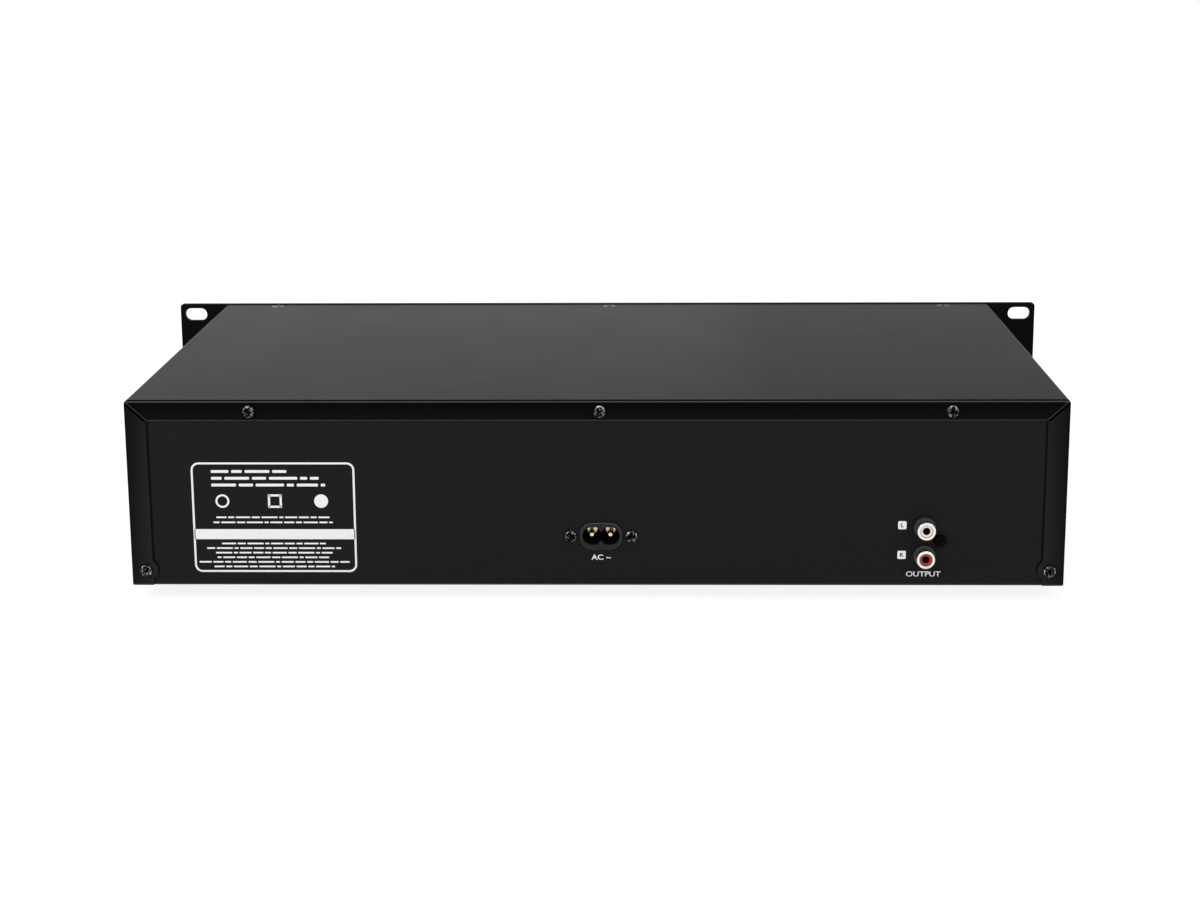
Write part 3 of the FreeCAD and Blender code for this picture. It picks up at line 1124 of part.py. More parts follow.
def deck_frame(deck):
    """Moulded frame: side walls with tray rails, plates for the drive and the pivots, and four legs."""
    x = DECK_CENTRE[deck]
    pieces = []
    for side in SIDES:
        wall = sorted((x + side * FRAME_INNER, x + side * FRAME_OUTER))
        pieces.append(slab(*wall, FRAME_FRONT_Y, FRAME_REAR_Y, FRAME_BOTTOM_Z, FRAME_TOP_Z))
        rail = sorted((x + side * (FRAME_INNER - RAIL_DEPTH), x + side * (FRAME_INNER + SINK)))
        low = TRAY_Z - RAIL_GAP
        pieces.append(slab(*rail, FRAME_FRONT_Y, FRAME_REAR_Y, low - RAIL_T, low))
        high = TRAY_TOP_Z + RAIL_GAP
        pieces.append(slab(*rail, FRAME_FRONT_Y, FRONT_PLATE_REAR_Y, high, FRAME_TOP_Z))
        pieces.append(slab(*rail, REAR_PLATE_FRONT_Y, FRAME_REAR_Y, high, FRAME_TOP_Z))
        flank = sorted((x + side * FRAME_INNER, x + side * DECK_HALF))
        for y in LEG_Y:
            pieces.append(slab(*flank, y - LEG_L / 2, y + LEG_L / 2, FLOOR_Z, FRAME_PLATE_Z))
        pieces.append(slab(*flank, DISC_Y - BRIDGE_BOSS_L / 2, DISC_Y + BRIDGE_BOSS_L / 2,
                           FRAME_TOP_Z - BRIDGE_BOSS_H, FRAME_TOP_Z))
        end = PIVOT_HALF + BEARING_OVERHANG
        bearing = sorted((x + side * end, x + side * (end - BEARING_W)))
        pieces.append(slab(*bearing, PIVOT_Y - BEARING_L / 2, PIVOT_Y + BEARING_L / 2,
                           FRAME_PLATE_Z - REAR_PLATE_DROP, PIVOT_Z + BEARING_RISE))
    inner = FRAME_INNER + SINK
    plate_top = FRAME_PLATE_Z + FRAME_PLATE_T
    pieces.append(slab(x - inner, x + inner, FRAME_FRONT_Y, FRONT_PLATE_REAR_Y, FRAME_PLATE_Z, plate_top))
    pieces.append(slab(x - inner, x + inner, REAR_PLATE_FRONT_Y, FRAME_REAR_Y,
                       FRAME_PLATE_Z - REAR_PLATE_DROP, plate_top - REAR_PLATE_DROP))
    pieces.append(slab(x - inner, x + inner, FRAME_REAR_Y - FRAME_REAR_WALL, FRAME_REAR_Y,
                       FRAME_BOTTOM_Z, FRAME_TOP_Z))
    cutters = [rod_x(PIVOT_R + PIVOT_FIT, x - PIVOT_HALF - CUT, x + PIVOT_HALF + CUT, PIVOT_Y, PIVOT_Z)]
    cutters.append(rod_z(MOTOR_COLLAR_R + FIT, x + MOTOR_U, GEAR_Y, FRAME_PLATE_Z - CUT, plate_top + CUT))
    bore_r = SCREW_R + SCREW_CLEAR
    for side in SIDES:
        for y in LEG_Y:
            cutters.append(rod_z(bore_r, x + side * LEG_CENTRE, y, FLOOR_Z - CUT, FLOOR_Z + LEG_BORE_L))
    for bx, by in bridge_screw_places(deck):
        cutters.append(rod_z(bore_r, bx, by, FRAME_TOP_Z - BRIDGE_BOSS_H + CUT, FRAME_TOP_Z + CUT))
    for y in FRAME_WINDOWS:
        cutters.append(frame_window(x, y))
    frame = cut(fuse(pieces), cutters)
    post = rod_z(POST_R, x + GEAR_U, GEAR_Y, FRAME_PLATE_Z + SINK, PINION_TOP_Z)
    return fuse([frame, post])


def bridge_screw_places(deck):
    return [(DECK_CENTRE[deck] + side * LEG_CENTRE, DISC_Y) for side in SIDES]


def clamp_bridge(deck):
    """Strip across the frame that carries the disc clamp in its middle ring."""
    x = DECK_CENTRE[deck]
    z0, z1 = FRAME_TOP_Z, FRAME_TOP_Z + BRIDGE_T
    strip = plate_z(2 * DECK_HALF, BRIDGE_W, BRIDGE_CORNER_R, x, DISC_Y, z0, z1)
    ring = rod_z(BRIDGE_RING_R, x, DISC_Y, z0, z1)
    holes = [rod_z(BRIDGE_HOLE_R, x, DISC_Y, z0 - CUT, z1 + CUT)]
    bore_r = SCREW_R + SCREW_CLEAR
    holes += [rod_z(bore_r, bx, by, z0 - CUT, z1 + CUT) for bx, by in bridge_screw_places(deck)]
    return cut(fuse([strip, ring]), holes)


def disc_clamp(deck):
    """Puck that hangs in the bridge by its upper flange and presses the disc on the turntable."""
    x = DECK_CENTRE[deck]
    seat = FRAME_TOP_Z + BRIDGE_T + CLAMP_REST_GAP
    lower = rod_z(CLAMP_R, x, DISC_Y, CLAMP_Z, CLAMP_Z + CLAMP_T)
    neck = rod_z(CLAMP_NECK_R, x, DISC_Y, CLAMP_Z + SINK, seat + SINK)
    upper = rod_z(CLAMP_FLANGE_R, x, DISC_Y, seat, seat + CLAMP_FLANGE_T)
    recess = rod_z(CLAMP_RECESS_R, x, DISC_Y, CLAMP_Z - CUT, CLAMP_Z + CLAMP_RECESS_DEPTH)
    return fuse([lower, neck, upper]).cut(recess)


# ---- drive unit --------------------------------------------------------------------------
def lowered(deck, shape):
    """Swings a shape drawn in the level, playing position down about the unit's pivot."""
    moved = shape.copy()
    moved.rotate(V(DECK_CENTRE[deck], PIVOT_Y, PIVOT_Z), X_AXIS, LIFT_ANGLE)
    return moved


def drive_unit(deck):
    """Plate with the pivot shaft at its rear and two guide rods under it."""
    x = DECK_CENTRE[deck]
    half = UNIT_W / 2
    top = UNIT_Z + UNIT_T
    pieces = [slab(x - half, x + half, UNIT_FRONT_Y, UNIT_REAR_Y, UNIT_Z, top)]
    for side in SIDES:
        axis = x + side * ROD_X
        for y in (UNIT_SLOT_FRONT_Y - ROD_BLOCK_L, UNIT_SLOT_REAR_Y):
            pieces.append(slab(axis - ROD_BLOCK_W / 2, axis + ROD_BLOCK_W / 2, y, y + ROD_BLOCK_L,
                               ROD_Z - ROD_R - ROD_BLOCK_WALL, UNIT_Z + SINK))
        arm = sorted((x + side * half, x + side * (half - UNIT_ARM_W)))
        pieces.append(slab(*arm, UNIT_REAR_Y - CUT, PIVOT_Y, PIVOT_Z - PIVOT_R, top))
        skirt = sorted((x + side * half, x + side * (half - UNIT_T)))
        pieces.append(slab(*skirt, UNIT_FRONT_Y, UNIT_REAR_Y, UNIT_Z - UNIT_SKIRT_DROP, UNIT_Z + SINK))
    pieces.append(rod_x(PIVOT_R, x - PIVOT_HALF, x + PIVOT_HALF, PIVOT_Y, PIVOT_Z))
    rod_y0 = UNIT_SLOT_FRONT_Y - ROD_BLOCK_L
    rod_y1 = UNIT_SLOT_REAR_Y + ROD_BLOCK_L
    pieces += [rod_y(ROD_R, x + side * ROD_X, rod_y0, rod_y1, ROD_Z) for side in SIDES]
    slot = plate_z(UNIT_SLOT_W, UNIT_SLOT_REAR_Y - UNIT_SLOT_FRONT_Y, UNIT_SLOT_CORNER_R, x,
                   (UNIT_SLOT_REAR_Y + UNIT_SLOT_FRONT_Y) / 2, UNIT_Z - CUT, top + CUT)
    spindle_hole = rod_z(SPINDLE_COLLAR_R + FIT, x, DISC_Y, UNIT_Z - CUT, top + CUT)
    return lowered(deck, cut(fuse(pieces), [slot, spindle_hole]))


def spindle_motor(deck):
    x = DECK_CENTRE[deck]
    can = rod_z(SPINDLE_MOTOR_R, x, DISC_Y, UNIT_Z - SPINDLE_MOTOR_H, UNIT_Z)
    collar = rod_z(SPINDLE_COLLAR_R, x, DISC_Y, UNIT_Z - CUT, UNIT_Z + UNIT_T)
    shaft = rod_z(SPINDLE_R, x, DISC_Y, UNIT_Z, TABLE_TOP_Z - TABLE_T)
    return lowered(deck, fuse([can, collar, shaft]))


def turntable(deck):
    """Platter with a coned boss for the disc's hole, on the spindle."""
    x = DECK_CENTRE[deck]
    hub = rod_z(TABLE_HUB_R, x, DISC_Y, UNIT_Z + UNIT_T + TABLE_HUB_GAP, TABLE_TOP_Z - SINK)
    plate = rod_z(TABLE_R, x, DISC_Y, TABLE_TOP_Z - TABLE_T, TABLE_TOP_Z)
    boss = Part.makeCone(TABLE_BOSS_R, TABLE_BOSS_R - TABLE_BOSS_TAPER, TABLE_BOSS_H,
                         V(x, DISC_Y, TABLE_TOP_Z), Z_AXIS)
    bore = rod_z(SPINDLE_R + POST_FIT, x, DISC_Y, UNIT_Z, TABLE_TOP_Z - TABLE_T + TABLE_BORE_ROOM)
    return lowered(deck, fuse([hub, plate, boss]).cut(bore))


def pickup(deck):
    """Laser sled on its two rods, with the lens tower in the middle."""
    x = DECK_CENTRE[deck]
    y0, y1 = PICKUP_Y - SLED_L / 2, PICKUP_Y + SLED_L / 2
    end = ROD_X + SLED_END
    sled = slab(x - end, x + end, y0, y1, ROD_Z - SLED_BELOW, ROD_Z + SLED_ABOVE)
    tower = slab(x - TOWER_W / 2, x + TOWER_W / 2, y0 + TOWER_SET, y1 - TOWER_SET,
                 ROD_Z, TOWER_TOP_Z)
    lens = rod_z(LENS_R, x, PICKUP_Y, TOWER_TOP_Z - CUT, LENS_TOP_Z)
    bores = [rod_y(ROD_R + ROD_FIT, x + side * ROD_X, y0 - CUT, y1 + CUT, ROD_Z) for side in SIDES]
    return lowered(deck, cut(fuse([sled, tower, lens]), bores))


# ---- boards ------------------------------------------------------------------------------
def board_corners(xs, ys):
    return [(x, y) for x in (xs[0] + BOARD_HOLE_INSET, xs[1] - BOARD_HOLE_INSET)
            for y in (ys[0] + BOARD_HOLE_INSET, ys[1] - BOARD_HOLE_INSET)]


def stud_places():
    return board_corners(MAIN_BOARD_X, MAIN_BOARD_Y) + board_corners(POWER_BOARD_X, POWER_BOARD_Y)


def control_studs():
    """Where studs on the front wall carry the control board."""
    return [(0.0, CONTROL_STUD_MIDDLE_Z)] + [(side * PANEL_SCREW_X, CROSSFADER_Z) for side in SIDES]


def board_studs():
    shapes = []
    for x, y in stud_places():
        shapes.append(rod_z(STUD_R, x, y, FLOOR_Z, STUD_TOP_Z))
    for x, z in control_studs():
        shapes.append(rod_y(STUD_R, x, SHEET, CONTROL_BOARD_Y, z))
    bore_r = SCREW_R + SCREW_CLEAR
    bores = [rod_z(bore_r, x, y, FLOOR_Z - CUT, STUD_TOP_Z + CUT) for x, y in stud_places()]
    bores += [rod_y(bore_r, x, SHEET + STUD_END, CONTROL_BOARD_Y + CUT, z) for x, z in control_studs()]
    return [shape.cut(bore) for shape, bore in zip(shapes, bores)]


def board(xs, ys):
    plate = slab(xs[0], xs[1], ys[0], ys[1], STUD_TOP_Z, STUD_TOP_Z + BOARD_T)
    return cut(plate, [screw_hole(V(x, y, STUD_TOP_Z + BOARD_T), -Z_AXIS, BOARD_T + CUT)
                       for x, y in board_corners(xs, ys)])


def board_chips():
    top = STUD_TOP_Z + BOARD_T
    chips = []
    for from_side, from_front, w, d, h in CHIPS:
        x, y = MAIN_BOARD_X[0] + from_side, MAIN_BOARD_Y[0] + from_front
        chips.append(slab(x - w / 2, x + w / 2, y - d / 2, y + d / 2, top, top + h))
    return chips


def power_parts():
    """Transformer and smoothing capacitors on the power board."""
    top = STUD_TOP_Z + BOARD_T
    x, from_front, w, d, h = TRANSFORMER
    y = POWER_BOARD_FRONT_Y + from_front
    core = slab(x - w / 2, x + w / 2, y - d / 2, y + d / 2, top, top + h)
    winding = plate_z(w - 2 * TRANSFORMER_RIM, d + 2 * TRANSFORMER_BULGE, TRANSFORMER_BULGE, x, y,
                      top + TRANSFORMER_RIM, top + h - TRANSFORMER_RIM)
    cans = [rod_z(r, cx, POWER_BOARD_FRONT_Y + cy, top, top + height) for cx, cy, r, height in CAPACITORS]
    return [fuse([core, winding])] + cans


# ---- all nodes ---------------------------------------------------------------------------
def nodes():
    made = {
        "front_panel": [front_panel()],
        "bottom_chassis": [bottom_chassis()],
        "top_cover": [top_cover()],
        "rear_screws": rear_screws(),
        "countersunk_screws": countersunk_screws(),
        "chassis_screws": chassis_screws(),
        "feet": feet(),
        "mains_inlet": [mains_inlet()],
        "inlet_pins": inlet_pins(),
        "phono_block": [phono_block()],
        "phono_shells": phono_shells(),
        "phono_insert_white": [phono_insert("white")],
        "phono_insert_red": [phono_insert("red")],
        "display_windows": display_windows(),
        "display_modules": display_modules(),
        "control_board": [control_board()],
        "control_switches": control_switches(),
        "board_studs": board_studs(),
        "main_board": [board(MAIN_BOARD_X, MAIN_BOARD_Y)],
        "main_board_chips": board_chips(),
        "power_board": [board(POWER_BOARD_X, POWER_BOARD_Y)],
        "power_parts": power_parts(),
        "deck_frames": [deck_frame(deck) for deck in DECKS],
        "clamp_bridges": [clamp_bridge(deck) for deck in DECKS],
        "loading_motors": loading_motors(),
        "loading_belts": loading_belts(),
    }
    for name, x, z, width, height in key_sites():
        made[name] = [key(x, z, width, height)]
    for name, x, z, upright in slider_sites():
        made[name] = [slider_knob(x, z, upright)]
    for deck in DECKS:
        made[f"jog_wheel_{deck}"] = [jog_wheel(deck)]
        made[f"tray_{deck}"] = [tray(deck)]
        made[f"tray_front_{deck}"] = [tray_front(deck)]
        made[f"pulley_gear_{deck}"] = [pulley_gear(deck)]
        made[f"motor_pulley_{deck}"] = [motor_pulley(deck)]
        made[f"drive_unit_{deck}"] = [drive_unit(deck)]
        made[f"spindle_motor_{deck}"] = [spindle_motor(deck)]
        made[f"turntable_{deck}"] = [turntable(deck)]
        made[f"pickup_{deck}"] = [pickup(deck)]
        made[f"disc_clamp_{deck}"] = [disc_clamp(deck)]
    return made


os.makedirs("parts", exist_ok=True)
for node, solids in nodes().items():
    whole = solids[0] if len(solids) == 1 else Part.makeCompound(solids)
    whole.exportStep(os.path.join("parts", node + ".step"))
    state = "valid" if whole.isValid() else "INVALID"
    print(node, len(whole.Solids), "solids", state, round(whole.Volume, 1))
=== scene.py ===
"""Finishes, small fittings, prints and the stage of a twin-tray disc player for a rack."""
import math

import bmesh
import bpy
from bpy.props import FloatProperty, FloatVectorProperty, PointerProperty
from mathutils import Matrix, Vector


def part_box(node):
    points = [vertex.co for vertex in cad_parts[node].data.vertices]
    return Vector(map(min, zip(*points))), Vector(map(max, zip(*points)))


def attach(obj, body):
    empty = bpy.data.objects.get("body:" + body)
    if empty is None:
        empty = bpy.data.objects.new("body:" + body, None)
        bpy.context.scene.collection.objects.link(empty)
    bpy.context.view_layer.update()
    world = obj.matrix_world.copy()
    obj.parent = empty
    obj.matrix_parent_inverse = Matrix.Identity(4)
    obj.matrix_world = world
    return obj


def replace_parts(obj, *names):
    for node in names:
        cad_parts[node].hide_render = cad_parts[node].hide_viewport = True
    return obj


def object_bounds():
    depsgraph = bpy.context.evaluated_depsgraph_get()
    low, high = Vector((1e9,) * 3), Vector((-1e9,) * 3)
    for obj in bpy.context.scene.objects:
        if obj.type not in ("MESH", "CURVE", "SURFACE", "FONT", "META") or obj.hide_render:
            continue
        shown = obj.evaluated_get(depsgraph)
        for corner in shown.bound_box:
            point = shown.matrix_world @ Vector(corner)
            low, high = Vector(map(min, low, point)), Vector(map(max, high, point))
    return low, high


bl_info = {
    "name": "Twin Tray Disc Player",
    "version": (1, 0, 0),
    "blender": (4, 5, 0),
    "location": "View3D > Sidebar > Player",
    "description": "Dresses the player's packed parts and builds its screws, prints and stage",
    "category": "Object",
}

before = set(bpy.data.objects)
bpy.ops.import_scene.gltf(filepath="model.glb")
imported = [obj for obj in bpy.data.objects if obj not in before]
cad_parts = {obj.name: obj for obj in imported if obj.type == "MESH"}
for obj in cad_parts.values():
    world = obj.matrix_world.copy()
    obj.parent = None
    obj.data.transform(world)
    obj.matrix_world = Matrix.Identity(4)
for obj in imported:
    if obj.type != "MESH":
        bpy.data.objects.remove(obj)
CAD_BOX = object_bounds()

MM = 0.001
MERGE = 1e-7
DECKS = ("1", "2")
PRESS_KEYS = ("back_key", "next_key", "cue_key", "play_key", "open_key")
AXES = (Vector((1, 0, 0)), Vector((0, 1, 0)), Vector((0, 0, 1)))
TO_REAR = Matrix.Rotation(math.pi, 4, "Z") @ Matrix.Rotation(math.pi / 2, 4, "X")
TO_FRONT = Matrix.Rotation(math.pi / 2, 4, "X")
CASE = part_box("top_cover")
WALL_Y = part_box("bottom_chassis")[1].y
PANEL_FRONT_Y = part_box("front_panel")[0].y


# ---- settings ------------------------------------------------------------------------------
def length(name, description, millimetres):
    return FloatProperty(name=name, description=description, default=millimetres * MM,
                         subtype="DISTANCE", unit="LENGTH", precision=5)


def turn(name, description, radians):
    return FloatProperty(name=name, description=description, default=radians,
                         subtype="ANGLE", unit="ROTATION", precision=5)


def share(name, description, value):
    return FloatProperty(name=name, description=description, default=value, min=0.0, max=1.0,
                         subtype="FACTOR")


def colour(name, description, red, green, blue):
    return FloatVectorProperty(name=name, description=description, default=(red, green, blue),
                               size=3, min=0.0, max=1.0, subtype="COLOR")


def place(name, description, x, y, z):
    return FloatVectorProperty(name=name, description=description, size=3, precision=5,
                               default=(x * MM, y * MM, z * MM), subtype="TRANSLATION", unit="LENGTH")


class PlayerFinish(bpy.types.PropertyGroup):
    """Colours and gloss of the player's surfaces."""
    cover: colour("Cover", "Satin paint of the folded cover", 0.007, 0.007, 0.0072)
    cover_gloss: share("Cover gloss", "Specular level of the cover's paint", 0.0046)
    wall: colour("Chassis", "Fine-textured paint of the chassis", 0.0095, 0.0095, 0.0097)
    panel: colour("Front panel", "Satin paint of the front panel", 0.0054, 0.0054, 0.0056)
    plastic: colour("Black plastic", "Mouldings of the trays, inlet and keys", 0.014, 0.014, 0.0145)
    grey_plastic: colour("Grey plastic", "Keys and knobs", 0.07, 0.072, 0.076)
    rubber: colour("Rubber", "Feet and belts", 0.012, 0.012, 0.012)
    board: colour("Circuit board", "Solder mask of the boards", 0.012, 0.075, 0.032)
    ink: colour("Ink", "Screen print on wall and panel", 0.97, 0.97, 0.96)
    grey_ink: colour("Grey ink", "Screen print of the scales", 0.36, 0.37, 0.38)
    letter_ink: colour("Letter ink", "Letters in the channel squares", 0.07, 0.07, 0.072)
    # The screws' plating gets painted highlights in patches; the second colour is the brighter painted highlight on
    # rims and recess walls.
    screw: colour("Screws", "Black plating of the screws", 0.028, 0.028, 0.029)
    screw_glint: colour("Worn screws", "Plating worn through on rims and recesses", 0.17, 0.17, 0.17)
    nickel: colour("Nickel", "Shells of the line sockets", 0.80, 0.78, 0.71)
    brass: colour("Brass", "Inlet pins and board studs", 0.83, 0.71, 0.48)
    steel: colour("Steel", "Bright sheet and motor cans", 0.56, 0.57, 0.58)
    wheel: colour("Wheel face", "Turned face of the jog wheels", 0.15, 0.153, 0.158)
    white_insert: colour("White insert", "Insulator of the left socket", 0.90, 0.89, 0.83)
    red_insert: colour("Red insert", "Insulator of the right socket", 0.45, 0.012, 0.012)
    nylon: colour("Nylon", "Natural nylon of the tray gears", 0.72, 0.70, 0.62)
    smoke: colour("Smoke", "Tint of the display windows", 0.34, 0.36, 0.38)
    segment: colour("Segments", "Unlit segments of the displays", 0.34, 0.36, 0.36)
    lens: colour("Lens", "Coated lens of a pickup", 0.05, 0.09, 0.32)
    tape: colour("Tape", "Winding tape of the transformer", 0.42, 0.25, 0.05)
    sleeve: colour("Sleeve", "Sleeves of the capacitors", 0.012, 0.02, 0.06)


class PlayerSeams(bpy.types.PropertyGroup):
    """The cover's folded lips on the rear wall, and the shade, shadows and highlights painted along them."""
    top_lip: length("Top lip", "Height of the lip along the top", 9.2)
    side_lip: length("Side lip", "Width of the lips down the sides", 10.0)
    lobe_inset: length("Lobe inset", "From the case's side to the middle of a lobe", 7.0)
    lobe_rise: length("Lobe rise", "From the cover's lower edge to the middle of a lobe", 7.2)
    lobe_radius: length("Lobe radius", "Radius of the lobe round a bottom screw", 5.2)
    # Painted shadows: beside the side lips, fading out below the lobes, and in the mitre's slit.
    seam: length("Seam", "Reach of the dark seam beside a lip", 0.9)
    seam_end: length("Seam end", "How far below a lobe's middle the seam fades out", 2.5)
    mitre: length("Mitre", "Width of the dark slit between the top lip and a side lip", 1.3)
    # Bands of painted shade at the start of the top bend, and painted highlights along the top bend and the
    # chassis's lower edge.
    bend: length("Bend", "From the lips' outer face back to the start of the top bend", 3.1)
    fold: length("Fold", "From the lips' outer face back to the pale line along the top bend", 0.8)
    edge: length("Edge", "Height of the pale line along the chassis's lower edge", 0.45)
    # Painted shade across the lips, darker at their folds and lighter at their cut edges.
    top_fold_shading: colour("Top fold", "Paint of the top lip at its fold", 0.0028, 0.0028, 0.0028)
    top_edge_shading: colour("Top edge", "Paint of the top lip at its cut edge", 0.0062, 0.0062, 0.0063)
    side_fold_shading: colour("Side fold", "Paint of the side lips at their fold", 0.0064, 0.0064, 0.0065)
    side_edge_shading: colour("Side edge", "Paint of the side lips at their cut edge", 0.0190, 0.0190, 0.0192)
    # A painted highlight along folds and cut edges, then painted shade and shadow in gaps, seams and bends.
    worn: colour("Worn line", "Thin paint on folds and cut edges", 0.065, 0.065, 0.065)
    painted_shade: colour("Shut line", "Paint lost in the shadow of a gap", 0.0003, 0.0003, 0.0003)


class PlayerScrews(bpy.types.PropertyGroup):
    """Sizes of the cross-recess screws."""
    flat: share("Flat", "Flat top of a pan head, as a share of its radius", 0.72)
    # Outside this share the rim gets a painted highlight.
    glint_rim: share("Worn rim", "Where a head's worn rim begins, as a share of its radius", 0.84)
    arm: share("Arm", "Reach of the cross, as a share of the flat top", 0.76)
    arm_width: share("Arm width", "Width of an arm, as a share of its reach", 0.5)
    depth: length("Recess depth", "Depth of the cross recess", 1.15)
    thread_pitch: length("Thread pitch", "Distance between two ridges of the thread", 0.5)
    thread_depth: length("Thread depth", "Depth of the thread", 0.2)


class PlayerRearPrint(bpy.types.PropertyGroup):
    """Places and sizes of the print on the rear wall."""
    thickness: length("Ink", "Thickness of the ink", 0.05)
    frame_x: length("Frame place", "Middle of the ruled frame across the wall", 148.0)
    frame_z: length("Frame height", "Middle of the ruled frame above the case's middle", -11.2)
    frame_width: length("Frame width", "Outer width of the ruled frame", 75.2)
    frame_height: length("Frame tall", "Outer height of the ruled frame", 52.1)
    frame_line: length("Frame line", "Line of the ruled frame", 0.9)
    frame_corner: length("Frame corner", "Outer corner radius of the ruled frame", 3.6)
    band_z: length("Band", "Middle of the solid band", -19.14)
    band_height: length("Band height", "Height of the solid band", 4.8)
    heading: length("Heading rows", "Height of the bars of the heading rows", 1.3)
    small: length("Small rows", "Height of the bars of the small rows", 0.75)
    mark: length("Marks", "Size of the plain marks between the rows", 6.4)
    mark_z: length("Marks' height", "Middle of the row of plain marks", -3.4)
    square: length("Channel square", "Side of the square beside a line socket", 3.85)
    square_gap: length("Channel gap", "From a socket's axis to its square", 10.15)
    square_pitch: length("Channel pitch", "Distance between the two squares", 14.1)
    letter: length("Channel letter", "Height of the letter in a square", 1.8)
    caption: length("Caption", "Height of the captions under the connectors", 2.4)
    inlet_caption: length("Inlet caption", "Width of the caption under the inlet", 9.1)
    line_caption: length("Line caption", "Width of the caption under the line sockets", 15.8)
    inlet_caption_drop: length("Inlet caption drop", "From the inlet's middle down to its caption", 10.2)
    line_caption_drop: length("Line caption drop", "From the lower socket down to its caption", 9.05)


class PlayerFrontPrint(bpy.types.PropertyGroup):
    """Sizes of the print on the front panel, its keys and displays."""
    thickness: length("Ink", "Thickness of the ink", 0.05)
    icon: length("Icon", "Height of the marks on the keys", 3.6)
    numeral: length("Numeral", "Height of the deck numbers", 4.6)
    letter: length("Letter", "Height of the marks on the scales", 2.2)
    tick: length("Tick", "Long tick of a scale", 3.0)
    tick_line: length("Tick line", "Width of a tick", 0.35)
    scale_gap: length("Scale gap", "From a slider's knob to its scale", 1.6)
    rule: length("Rule", "Width of the line round a display", 0.35)
    digit: length("Digit", "Height of a digit of the displays", 8.6)
    digit_width: length("Digit width", "Width of a digit of the displays", 4.6)
    digit_line: length("Digit line", "Width of a digit's segment", 0.85)


class PlayerStage(bpy.types.PropertyGroup):
    """Camera, floor and lamps."""
    camera: place("Camera", "Where the camera stands", -24.83, 1280.71, 259.27)
    yaw: turn("Yaw", "Camera's turn from straight ahead", 0.02233)
    pitch: turn("Pitch", "Camera's tilt below the horizon", 0.23023)
    roll: turn("Roll", "Camera's turn about its own axis", -0.00527)
    lens: FloatProperty(name="Lens", description="Focal length of the camera", default=68.852, unit="CAMERA")
    floor: colour("Floor", "Pale floor under the player", 0.82, 0.82, 0.82)
    floor_size: length("Floor size", "Side of the floor", 40000)
    shadow: share("Shadow", "Part of the floor's brightness that a shadow can take", 0.24)
    ambient: share("Ambient", "Light from the room on the surfaces", 0.5)


GROUPS = {"player_finish": PlayerFinish, "player_seams": PlayerSeams, "player_screws": PlayerScrews,
          "player_rear_print": PlayerRearPrint, "player_front_print": PlayerFrontPrint,
          "player_stage": PlayerStage}


